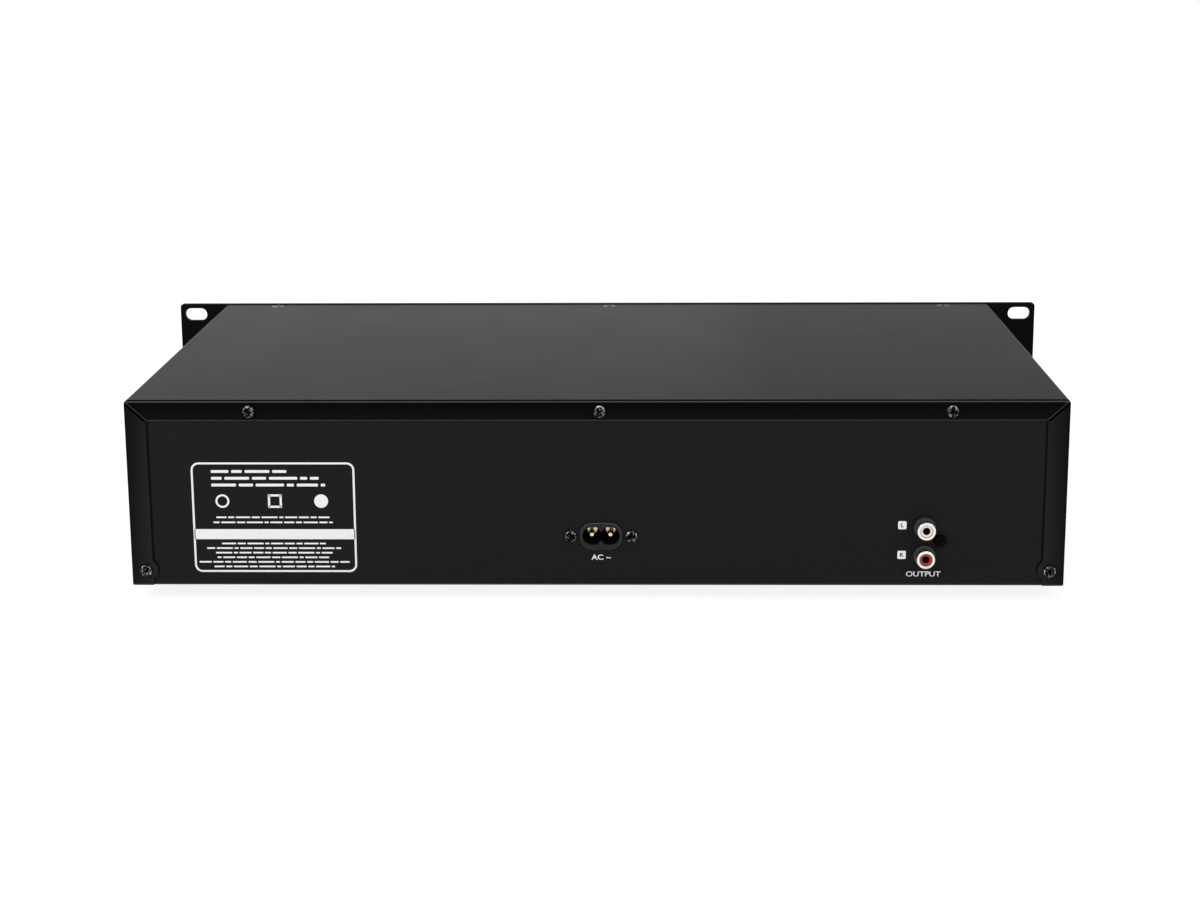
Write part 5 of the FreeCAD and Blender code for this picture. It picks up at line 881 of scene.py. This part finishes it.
def screw_group(name, node, profile, flat_share, materials):
    """Builds every screw of a node with its cross recess."""
    bm = bmesh.new()
    core = 1.5 * MM
    for number, (seat, outward, radius, length_all) in enumerate(screw_seats(node)):
        one = bmesh.new()
        rim = cross_recess(one, radius * flat_share, 0)
        drawn_down(one, rim, profile(radius, length_all, core))
        bmesh.ops.remove_doubles(one, verts=one.verts, dist=MERGE)
        bmesh.ops.recalc_face_normals(one, faces=one.faces)
        low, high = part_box("phono_block")
        by_socket = outward.y > 0.5 and low.x < seat.x < high.x and low.z < seat.z < high.z
        paint_glints_and_shade(one, radius, radius * flat_share * settings("player_screws").arm, by_socket)
        spot = Matrix.Translation(seat) @ outward.to_track_quat("Z", "Y").to_matrix().to_4x4()
        spot = spot @ Matrix.Rotation(0.9 * number, 4, "Z")
        bmesh.ops.transform(one, matrix=spot, verts=one.verts)
        loose = bpy.data.meshes.new("one")
        one.to_mesh(loose)
        one.free()
        bm.from_mesh(loose)
        bpy.data.meshes.remove(loose)
    piece = add_piece(name, bm, "case", materials, smooth=math.radians(35))
    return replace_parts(piece, node)


# ---- prints on the rear --------------------------------------------------------------------
WORD_LENGTHS = (5, 3, 7, 4, 8, 2, 6)


def blank_row(bm, left, z, width, height, first):
    """Row of plain bars in place of words, from a left end."""
    letter = height * 1.25
    x, word = left, first
    while x < left + width - letter:
        span = min(WORD_LENGTHS[word % len(WORD_LENGTHS)] * letter, left + width - x)
        rectangle(bm, x + span / 2, z, span, height, height * 0.3)
        x += span + letter * 0.8
        word += 1


def blank_rows(bm, sizes):
    """Rows of plain bars in the ruled frame: headings, two small rows, and a block under the band."""
    left = -sizes.frame_x - 28.4 * MM
    for number, width in enumerate((36.3, 49.5, 52.4)):
        blank_row(bm, left, (10.6 - 3.2 * number) * MM, width * MM, sizes.heading, number)
    rows = [(-11.1, 52.2), (-13.5, 55.1)]
    rows += [(-23.6 - 2.2 * number, width) for number, width in enumerate((48.1, 62.1, 54.0, 52.8, 69.6, 55.9))]
    for number, (z, width) in enumerate(rows):
        blank_row(bm, -sizes.frame_x - (width / 2 + 0.6) * MM, z * MM, width * MM, sizes.small, number)


def plain_marks(bm, sizes):
    """Ring, square and disc between the rows."""
    x, z, size = -sizes.frame_x, sizes.mark_z, sizes.mark
    ring(bm, x - 23.6 * MM, z, size / 2, size * 0.14)
    hollow(bm, rectangle(bm, x + 0.6 * MM, z, size, size, 0.3 * MM), size * 0.16)
    spot = Matrix.Translation((x + 21.9 * MM, z, 0))
    bmesh.ops.create_circle(bm, cap_ends=True, radius=size / 2, segments=48, matrix=spot)


def ruled_frame(sizes, white, spot):
    bm = bmesh.new()
    border = rectangle(bm, -sizes.frame_x, sizes.frame_z, sizes.frame_width, sizes.frame_height,
                       sizes.frame_corner)
    hollow(bm, border, sizes.frame_line)
    rectangle(bm, -sizes.frame_x, sizes.band_z, sizes.frame_width - sizes.frame_line, sizes.band_height)
    blank_rows(bm, sizes)
    plain_marks(bm, sizes)
    printed("rear_print_frame", bm, "case", white, spot, sizes.thickness)


def rear_captions(sizes, white, grey, spot):
    bm = bmesh.new()
    inlet = sum(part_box("mains_inlet"), Vector()) / 2
    lettering(bm, "AC ~", sizes.caption, -inlet.x, inlet.z - sizes.inlet_caption_drop,
              sizes.inlet_caption, 0.02)
    socket = sum(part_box("phono_insert_red"), Vector()) / 2
    lettering(bm, "OUTPUT", sizes.caption, -socket.x, socket.z - sizes.line_caption_drop,
              sizes.line_caption, 0.015)
    letters = bmesh.new()
    x = -socket.x - sizes.square_gap
    for channel, z in (("L", socket.z + sizes.square_pitch), ("R", socket.z)):
        rectangle(bm, x, z, sizes.square, sizes.square, 0.6 * MM)
        lettering(letters, channel, sizes.letter, x, z, weight=0.03)
    printed("rear_print_captions", bm, "case", white, spot, sizes.thickness)
    above = spot @ Matrix.Translation((0, 0, sizes.thickness))
    printed("rear_print_channels", letters, "case", grey, above, sizes.thickness)


# ---- prints on the front -------------------------------------------------------------------
def pointer(bm, x, height, towards):
    """Triangle that points left or right."""
    half = height / 2
    polygon(bm, [(x - towards * half * 0.8, -half), (x + towards * half * 0.8, 0),
                 (x - towards * half * 0.8, half)][::towards])


def skip_mark(bm, size, towards):
    for step in (-0.62, 0.12):
        pointer(bm, towards * step * size, size * 0.85, towards)
    rectangle(bm, towards * 0.66 * size, 0, size * 0.16, size * 0.85)


def back_mark(bm, size):
    skip_mark(bm, size, -1)


def next_mark(bm, size):
    skip_mark(bm, size, 1)


def cue_mark(bm, size):
    lettering(bm, "CUE", size * 0.72, weight=0.02)


def play_mark(bm, size):
    pointer(bm, -0.75 * size, size, 1)
    for step in (0.35, 0.85):
        rectangle(bm, step * size, 0, size * 0.24, size)


def open_mark(bm, size):
    polygon(bm, [(-0.55 * size, -0.12 * size), (0.55 * size, -0.12 * size), (0, 0.5 * size)])
    rectangle(bm, 0, -0.42 * size, 1.1 * size, size * 0.2)


def power_mark(bm, size):
    arc(bm, (0, 0), size * 0.55, size * 0.13, math.radians(125), math.radians(290))
    rectangle(bm, 0, 0.38 * size, size * 0.13, size * 0.6)


KEY_MARKS = {"back_key": back_mark, "next_key": next_mark, "cue_key": cue_mark, "play_key": play_mark,
             "open_key": open_mark}


def key_print(node, mark, white, sizes):
    """Prints a key's mark on its face."""
    low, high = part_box(node)
    spot = Matrix.Translation(((low.x + high.x) / 2, low.y, (low.z + high.z) / 2)) @ TO_FRONT
    bm = bmesh.new()
    mark(bm, sizes.icon)
    printed(f"{node}_print", bm, node, white, spot, sizes.thickness)


def slider_scale(bm, low, high, travel, upright, sizes, sides=(-1, 1)):
    """Ticks along the sides of a slider, the ends and the middle longer."""
    x, z = (low.x + high.x) / 2, (low.z + high.z) / 2
    half = (high.x - low.x if upright else high.z - low.z) / 2 + sizes.scale_gap
    for step in range(-5, 6):
        tick = sizes.tick if step % 5 == 0 else sizes.tick * 0.6
        along = step / 5 * travel
        for side in sides:
            across = side * (half + tick / 2)
            if upright:
                rectangle(bm, x + across, z + along, tick, sizes.tick_line)
            else:
                rectangle(bm, x + along, z + across, sizes.tick_line, tick)


def jog_scale(bm, low, high, sizes):
    """Ticks round a jog wheel."""
    middle = ((low.x + high.x) / 2, (low.z + high.z) / 2)
    reach = (high.x - low.x) / 2 + 1.4 * MM
    for step in range(36):
        tick = sizes.tick * (0.65 if step % 9 == 0 else 0.35)
        turned_bar(bm, middle, step * math.pi / 18, reach, tick, sizes.tick_line)


def deck_print(deck, sizes, white, grey):
    """Deck number, display rule, and the scales of the pitch slider and the jog wheel."""
    on_panel = Matrix.Translation((0, PANEL_FRONT_Y, 0)) @ TO_FRONT
    slider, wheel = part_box(f"pitch_slider_{deck}"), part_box(f"jog_wheel_{deck}")
    pane = display_panes()[DECKS.index(deck)]
    scales = bmesh.new()
    slider_scale(scales, *slider, 15 * MM, True, sizes)
    jog_scale(scales, *wheel, sizes)
    middle = (pane[0] + pane[1]) / 2
    width, height = pane[1].x - pane[0].x, pane[1].z - pane[0].z
    hollow(scales, rectangle(scales, middle.x, middle.z, width + MM, height + MM, 1.6 * MM), sizes.rule)
    printed(f"front_print_scales_{deck}", scales, "case", grey, on_panel, sizes.thickness)
    marks = bmesh.new()
    x = slider[1].x + sizes.scale_gap + sizes.tick + 2.2 * MM
    z = (slider[0].z + slider[1].z) / 2
    for words, along in (("+", 15 * MM), ("0", 0), ("-", -15 * MM)):
        lettering(marks, words, sizes.letter, x, z + along, weight=0.01)
    lettering(marks, deck, sizes.numeral, (pane[1].x + wheel[0].x) / 2, 1.5 * MM, weight=0.02)
    printed(f"front_print_marks_{deck}", marks, "case", white, on_panel, sizes.thickness)


def display_panes():
    """Lowest and highest corner of each display's bezel, from left to right."""
    return sorted((corners(points) for points in solids("display_modules")), key=lambda box: box[0].x)


def segment(bm, x, y, length, width, upright):
    """One segment of a digit, pointed at both ends."""
    tip = width / 2
    outline = [(-length / 2, 0), (tip - length / 2, -tip), (length / 2 - tip, -tip),
               (length / 2, 0), (length / 2 - tip, tip), (tip - length / 2, tip)]
    if upright:
        outline = [(-across, along) for along, across in outline]
    polygon(bm, [(x + across, y + along) for across, along in outline])


def digit(bm, x, y, sizes):
    """Seven segments of a digit."""
    width, half, line = sizes.digit_width - sizes.digit_line, (sizes.digit - sizes.digit_line) / 2, sizes.digit_line
    gap = 0.12 * MM
    for level in (-1, 0, 1):
        segment(bm, x, y + level * half, width - gap, line, False)
    for side in (-1, 1):
        for level in (-1, 1):
            segment(bm, x + side * width / 2, y + level * half / 2, half - gap, line, True)


def display_digits(deck, sizes, tone):
    """Track number and time of a display, as unlit segments on its glass."""
    low, high = display_panes()[DECKS.index(deck)]
    middle = (low + high) / 2
    pitch = sizes.digit_width + 1.2 * MM
    bm = bmesh.new()
    places = [step * pitch for step in (-4.1, -3.1, -1.5, -0.5, 0.9, 1.9, 3.1, 4.1)]
    for place_x in places:
        digit(bm, place_x, 0, sizes)
    for gap_x in (0.2, 2.5):
        for level in (-1, 1):
            dot = Matrix.Translation((gap_x * pitch, level * sizes.digit * 0.2, 0))
            bmesh.ops.create_circle(bm, cap_ends=True, radius=sizes.digit_line * 0.55, segments=16, matrix=dot)
    spot = Matrix.Translation((middle.x, low.y + 1.2 * MM, middle.z)) @ TO_FRONT
    printed(f"display_digits_{deck}", bm, "case", tone, spot, sizes.thickness)


def crossfader_print(sizes, white, grey):
    on_panel = Matrix.Translation((0, PANEL_FRONT_Y, 0)) @ TO_FRONT
    low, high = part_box("crossfader")
    scale = bmesh.new()
    slider_scale(scale, low, high, 15 * MM, False, sizes, sides=(1,))
    printed("front_print_crossfader", scale, "case", grey, on_panel, sizes.thickness)
    marks = bmesh.new()
    middle = (low + high) / 2
    for side, deck in zip((-1, 1), DECKS):
        lettering(marks, deck, sizes.letter * 1.2, middle.x + side * 23 * MM, middle.z, weight=0.02)
    printed("front_print_fader_ends", marks, "case", white, on_panel, sizes.thickness)


def pickup_lens(deck, glass):
    """Domed lens on a pickup's tower, tilted as the lowered sled is."""
    points = max(solids(f"pickup_{deck}"), key=len)
    top = max(point.z for point in points)
    rim = [point for point in points if point.z > top - 0.9 * MM]
    low, high = corners(rim)
    radius = (high.x - low.x) / 2 * 0.78
    tilt = Matrix.Rotation(math.atan2(high.z - low.z, high.y - low.y), 4, "X")
    bm = bmesh.new()
    bmesh.ops.create_uvsphere(bm, u_segments=32, v_segments=16, radius=radius)
    bmesh.ops.scale(bm, vec=(1, 1, 0.22), verts=bm.verts)
    spot = Matrix.Translation((low + high) / 2) @ tilt
    bmesh.ops.transform(bm, matrix=spot, verts=bm.verts)
    add_piece(f"pickup_lens_{deck}", bm, f"pickup_{deck}", [glass], smooth=math.radians(40))


# ---- stage ---------------------------------------------------------------------------------
def seen_directly(tree):
    """One for what the camera sees, straight, mirrored or through glass."""
    path = tree.nodes.new("ShaderNodeLightPath")
    total = path.outputs["Is Camera Ray"]
    for ray in ("Is Glossy Ray", "Is Transmission Ray"):
        either = tree.nodes.new("ShaderNodeMath")
        either.operation = "MAXIMUM"
        tree.links.new(total, either.inputs[0])
        tree.links.new(path.outputs[ray], either.inputs[1])
        total = either.outputs["Value"]
    return total


def pale_floor(sizes):
    bm = bmesh.new()
    bmesh.ops.create_grid(bm, x_segments=1, y_segments=1, size=sizes.floor_size / 2,
                          matrix=Matrix.Translation((0, 0, CAD_BOX[0].z)))
    mesh = bpy.data.meshes.new("pale_floor")
    bm.to_mesh(mesh)
    bm.free()
    floor = bpy.data.objects.new("pale_floor", mesh)
    bpy.context.scene.collection.objects.link(floor)
    finish = Finish("floor_white", sizes.floor, 0.9, Specular_IOR_Level=0.0)
    lit = finish.add("ShaderNodeBsdfDiffuse")
    lit.inputs["Color"].default_value = (sizes.shadow, sizes.shadow, sizes.shadow, 1)
    glow = finish.add("ShaderNodeEmission")
    glow.inputs["Strength"].default_value = 1 - sizes.shadow * sizes.ambient
    both = finish.add("ShaderNodeAddShader")
    finish.feed(both.inputs[0], lit.outputs["BSDF"])
    finish.feed(both.inputs[1], glow.outputs["Emission"])
    choice = finish.add("ShaderNodeMixShader")
    finish.feed(choice.inputs["Fac"], seen_directly(finish.tree))
    finish.feed(choice.inputs[1], finish.shader.outputs["BSDF"])
    finish.feed(choice.inputs[2], both.outputs["Shader"])
    finish.feed(finish.tree.nodes["Material Output"].inputs["Surface"], choice.outputs["Shader"])
    mesh.materials.append(finish.material)


def room_light(sizes):
    world = bpy.data.worlds.new("studio")
    world.use_nodes = True
    bpy.context.scene.world = world
    background = world.node_tree.nodes["Background"]
    background.inputs["Color"].default_value = (1, 1, 1, 1)
    strength = world.node_tree.nodes.new("ShaderNodeMapRange")
    strength.inputs["To Min"].default_value = sizes.ambient
    world.node_tree.links.new(seen_directly(world.node_tree), strength.inputs["Value"])
    world.node_tree.links.new(strength.outputs["Result"], background.inputs["Strength"])


# Lamps: name, place, width, height, power, whether gloss mirrors it.
LAMPS = (("overhead_softbox", (0.2, 0.3, 2.2), 2.0, 2.0, 22, False),
         ("rear_left_lamp", (1.9, 2.2, 1.6), 0.55, 0.55, 19.5, True),
         ("rear_right_lamp", (-2.0, 2.2, 1.6), 0.55, 0.55, 13.5, True),
         ("front_softbox", (1.2, -2.0, 2.0), 1.8, 1.8, 24, True),
         ("left_card", (0.95, -2.4, 0.6), 2.4, 1.4, 3.2, True))


def studio_lamps():
    for name, spot, width, height, power, mirrored in LAMPS:
        lamp = bpy.data.lights.new(name, "AREA")
        lamp.shape = "RECTANGLE"
        lamp.size = width
        lamp.size_y = height
        lamp.energy = power
        holder = bpy.data.objects.new(name, lamp)
        holder.location = spot
        aim = Vector((0, 0.13, 0)) - holder.location
        holder.rotation_euler = aim.to_track_quat("-Z", "Y").to_euler()
        holder.visible_glossy = mirrored
        bpy.context.scene.collection.objects.link(holder)


def rear_camera(sizes):
    eye = bpy.data.cameras.new("camera")
    eye.lens = sizes.lens
    eye.sensor_width = 36
    eye.sensor_fit = "HORIZONTAL"
    eye.clip_start = 0.01
    eye.clip_end = 100
    holder = bpy.data.objects.new("camera", eye)
    heading = Matrix.Rotation(math.pi + sizes.yaw, 4, "Z")
    tilt = Matrix.Rotation(math.pi / 2 - sizes.pitch, 4, "X")
    roll = Matrix.Rotation(sizes.roll, 4, "Z")
    holder.matrix_world = Matrix.Translation(sizes.camera) @ heading @ tilt @ roll
    bpy.context.scene.collection.objects.link(holder)
    bpy.context.scene.camera = holder
    bpy.context.scene.view_settings.view_transform = "Standard"


# ---- operators -----------------------------------------------------------------------------
class PLAYER_OT_case(bpy.types.Operator):
    """Paint the cover, chassis and front panel, and finish the feet"""
    bl_idname = "player.case"
    bl_label = "Case"
    bl_options = {"REGISTER", "UNDO"}

    def execute(self, context):
        look = settings("player_finish")
        dress("top_cover", cover_paint("satin_cover_paint", look.cover, look.cover_gloss))
        dress("bottom_chassis", chassis_paint("textured_chassis_paint", look.wall, 0.08))
        dress("front_panel", satin_paint("panel_paint", look.panel, 0.01, 0.42).material)
        dress("feet", rubber("foot_rubber", look.rubber))
        return {"FINISHED"}


class PLAYER_OT_connectors(bpy.types.Operator):
    """Finish the mains inlet and the line sockets"""
    bl_idname = "player.connectors"
    bl_label = "Connectors"
    bl_options = {"REGISTER", "UNDO"}

    def execute(self, context):
        look = settings("player_finish")
        dress("mains_inlet", inlet_plastic("inlet_plastic", (0.0155, 0.0155, 0.016),
                                            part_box("mains_inlet")[1].y))
        dress("inlet_pins", plated_metal("pin_brass", look.brass, 0.16))
        dress("phono_block", moulded_plastic("socket_plastic", look.plastic, 0.38))
        dress("phono_shells", plated_metal("socket_nickel", look.nickel, 0.18))
        # The dark reds passed on are painted shade in the sockets' holes, over the red of their inner parts.
        dress("phono_insert_white", insulator("white_insulator", look.white_insert, (0.14, 0.006, 0.005),
                                              "phono_insert_white"))
        dress("phono_insert_red", insulator("red_insulator", look.red_insert, (0.03, 0.002, 0.002),
                                            "phono_insert_red"))
        return {"FINISHED"}


class PLAYER_OT_controls(bpy.types.Operator):
    """Finish the keys, knobs, jog wheels and what stands behind them"""
    bl_idname = "player.controls"
    bl_label = "Controls"
    bl_options = {"REGISTER", "UNDO"}

    def execute(self, context):
        look = settings("player_finish")
        key_plastic = moulded_plastic("key_plastic", look.grey_plastic, 0.38, 0.0004)
        knob_plastic = moulded_plastic("knob_plastic", look.plastic, 0.34, 0.0004)
        dress("power_key", key_plastic)
        dress("crossfader", knob_plastic)
        for deck in DECKS:
            for key in PRESS_KEYS:
                dress(f"{key}_{deck}", key_plastic)
            dress(f"pitch_slider_{deck}", knob_plastic)
            wheel = f"jog_wheel_{deck}"
            dress(wheel, jog_finish(f"jog_finish_{deck}", look.plastic, Vector(look.wheel), wheel))
        dress("display_windows", smoked_window("smoked_acrylic", look.smoke))
        dress("display_modules", display_finish("display_bezel", look.plastic))
        dress("control_switches", moulded_plastic("switch_plastic", look.plastic, 0.5))
        dress("control_board", circuit_board("control_board_mask", look.board))
        return {"FINISHED"}


class PLAYER_OT_decks(bpy.types.Operator):
    """Finish the trays and the moving parts of the decks, and fit the pickups' lenses"""
    bl_idname = "player.decks"
    bl_label = "Decks"
    bl_options = {"REGISTER", "UNDO"}

    def execute(self, context):
        look = settings("player_finish")
        tray_plastic = moulded_plastic("tray_plastic", look.plastic, 0.46, 0.0007)
        cap_paint = satin_paint("tray_front_paint", look.panel, 0.15, 0.42).material
        frame_plastic = moulded_plastic("frame_plastic", look.plastic, 0.5, 0.001)
        nylon = moulded_plastic("gear_nylon", look.nylon, 0.4, 0.001)
        steel = plated_metal("bright_steel", look.steel, 0.3, (0.1, 1, 1))
        glass = coated_glass("lens_glass", look.lens)
        for deck in DECKS:
            dress(f"tray_{deck}", tray_plastic)
            dress(f"tray_front_{deck}", cap_paint)
            dress(f"pulley_gear_{deck}", nylon)
            dress(f"motor_pulley_{deck}", nylon)
            dress(f"drive_unit_{deck}", frame_plastic)
            dress(f"spindle_motor_{deck}", steel)
            platter = f"turntable_{deck}"
            dress(platter, platter_finish(f"platter_finish_{deck}", look.grey_plastic, platter))
            dress(f"pickup_{deck}", frame_plastic)
            dress(f"disc_clamp_{deck}", frame_plastic)
            pickup_lens(deck, glass)
        dress("deck_frames", frame_plastic)
        dress("clamp_bridges", steel)
        dress("loading_motors", steel)
        dress("loading_belts", rubber("belt_rubber", look.rubber))
        return {"FINISHED"}


class PLAYER_OT_boards(bpy.types.Operator):
    """Finish the circuit boards and what stands on them"""
    bl_idname = "player.boards"
    bl_label = "Boards"
    bl_options = {"REGISTER", "UNDO"}

    def execute(self, context):
        look = settings("player_finish")
        mask = circuit_board("board_mask", look.board)
        dress("main_board", mask)
        dress("power_board", mask)
        dress("main_board_chips", moulded_plastic("chip_resin", look.plastic, 0.55))
        dress("power_parts", power_finish("power_parts_finish", (0.11, 0.11, 0.12), look.tape, look.sleeve))
        dress("board_studs", plated_metal("stud_brass", look.brass))
        return {"FINISHED"}


class PLAYER_OT_screws(bpy.types.Operator):
    """Build the cross-recess screws of the case"""
    bl_idname = "player.screws"
    bl_label = "Screws"
    bl_options = {"REGISTER", "UNDO"}

    def execute(self, context):
        look = settings("player_finish")
        # Painted highlights on the screws: the rear screws' first plating brightens in patches, and each set's
        # second plating, on rims and recess walls, more. The third is painted shade on the recess floors, and the
        # black plating of the screw beside the sockets.
        plating = [worn_plating("screw_plating", look.screw, 7, 0.5, 0.66),
                   worn_plating("worn_plating", look.screw_glint, 3.4, 0.44, 0.64),
                   plated_metal("recess_black", (0.004, 0.004, 0.004), 0.4)]
        fresh = [plated_metal("fresh_plating", (0.012, 0.012, 0.012), 0.3),
                 worn_plating("edge_plating", (0.045, 0.045, 0.045), 3.4, 0.44, 0.64), plating[2]]
        flat = settings("player_screws").flat
        screw_group("rear_pan_screws", "rear_screws", pan_profile, flat, plating)
        screw_group("sunk_screws", "countersunk_screws", sink_profile, 0.97, fresh)
        screw_group("inner_pan_screws", "chassis_screws", pan_profile, flat, plating)
        return {"FINISHED"}


class PLAYER_OT_rear_print(bpy.types.Operator):
    """Print the ruled frame, the captions and the channel squares on the rear wall"""
    bl_idname = "player.rear_print"
    bl_label = "Rear Print"
    bl_options = {"REGISTER", "UNDO"}

    def execute(self, context):
        sizes, look = settings("player_rear_print"), settings("player_finish")
        white, grey = ink("white_ink", look.ink), ink("channel_ink", look.letter_ink)
        on_wall = Matrix.Translation((0, WALL_Y, 0)) @ TO_REAR
        ruled_frame(sizes, white, on_wall)
        rear_captions(sizes, white, grey, on_wall)
        return {"FINISHED"}


class PLAYER_OT_front_print(bpy.types.Operator):
    """Print the marks on the keys, the scales and numbers on the panel and the displays' digits"""
    bl_idname = "player.front_print"
    bl_label = "Front Print"
    bl_options = {"REGISTER", "UNDO"}

    def execute(self, context):
        sizes, look = settings("player_front_print"), settings("player_finish")
        white, grey = ink("mark_ink", look.ink), ink("scale_ink", look.grey_ink)
        unlit = ink("unlit_segments", look.segment)
        key_print("power_key", power_mark, white, sizes)
        crossfader_print(sizes, white, grey)
        for deck in DECKS:
            for key, mark in KEY_MARKS.items():
                key_print(f"{key}_{deck}", mark, white, sizes)
            deck_print(deck, sizes, white, grey)
            display_digits(deck, sizes, unlit)
        return {"FINISHED"}


class PLAYER_OT_stage(bpy.types.Operator):
    """Set up the floor, the room's light, the lamps and the camera"""
    bl_idname = "player.stage"
    bl_label = "Stage"
    bl_options = {"REGISTER", "UNDO"}

    def execute(self, context):
        sizes = settings("player_stage")
        pale_floor(sizes)
        room_light(sizes)
        studio_lamps()
        rear_camera(sizes)
        return {"FINISHED"}


BUILDERS = (PLAYER_OT_case, PLAYER_OT_connectors, PLAYER_OT_controls, PLAYER_OT_decks, PLAYER_OT_boards,
            PLAYER_OT_screws, PLAYER_OT_rear_print, PLAYER_OT_front_print, PLAYER_OT_stage)


class PLAYER_PT_panel(bpy.types.Panel):
    """Lists the builders of the player"""
    bl_idname = "PLAYER_PT_panel"
    bl_label = "Twin Tray Player"
    bl_space_type = "VIEW_3D"
    bl_region_type = "UI"
    bl_category = "Player"

    def draw(self, context):
        for builder in BUILDERS:
            self.layout.operator(builder.bl_idname)


def register():
    for name, group in GROUPS.items():
        bpy.utils.register_class(group)
        setattr(bpy.types.Scene, name, PointerProperty(type=group))
    for builder in BUILDERS:
        bpy.utils.register_class(builder)
    bpy.utils.register_class(PLAYER_PT_panel)


def unregister():
    bpy.utils.unregister_class(PLAYER_PT_panel)
    for builder in reversed(BUILDERS):
        bpy.utils.unregister_class(builder)
    for name, group in GROUPS.items():
        delattr(bpy.types.Scene, name)
        bpy.utils.unregister_class(group)


def main():
    register()
    for builder in BUILDERS:
        group, name = builder.bl_idname.split(".")
        getattr(getattr(bpy.ops, group), name)()


if __name__ == "__main__":
    main()
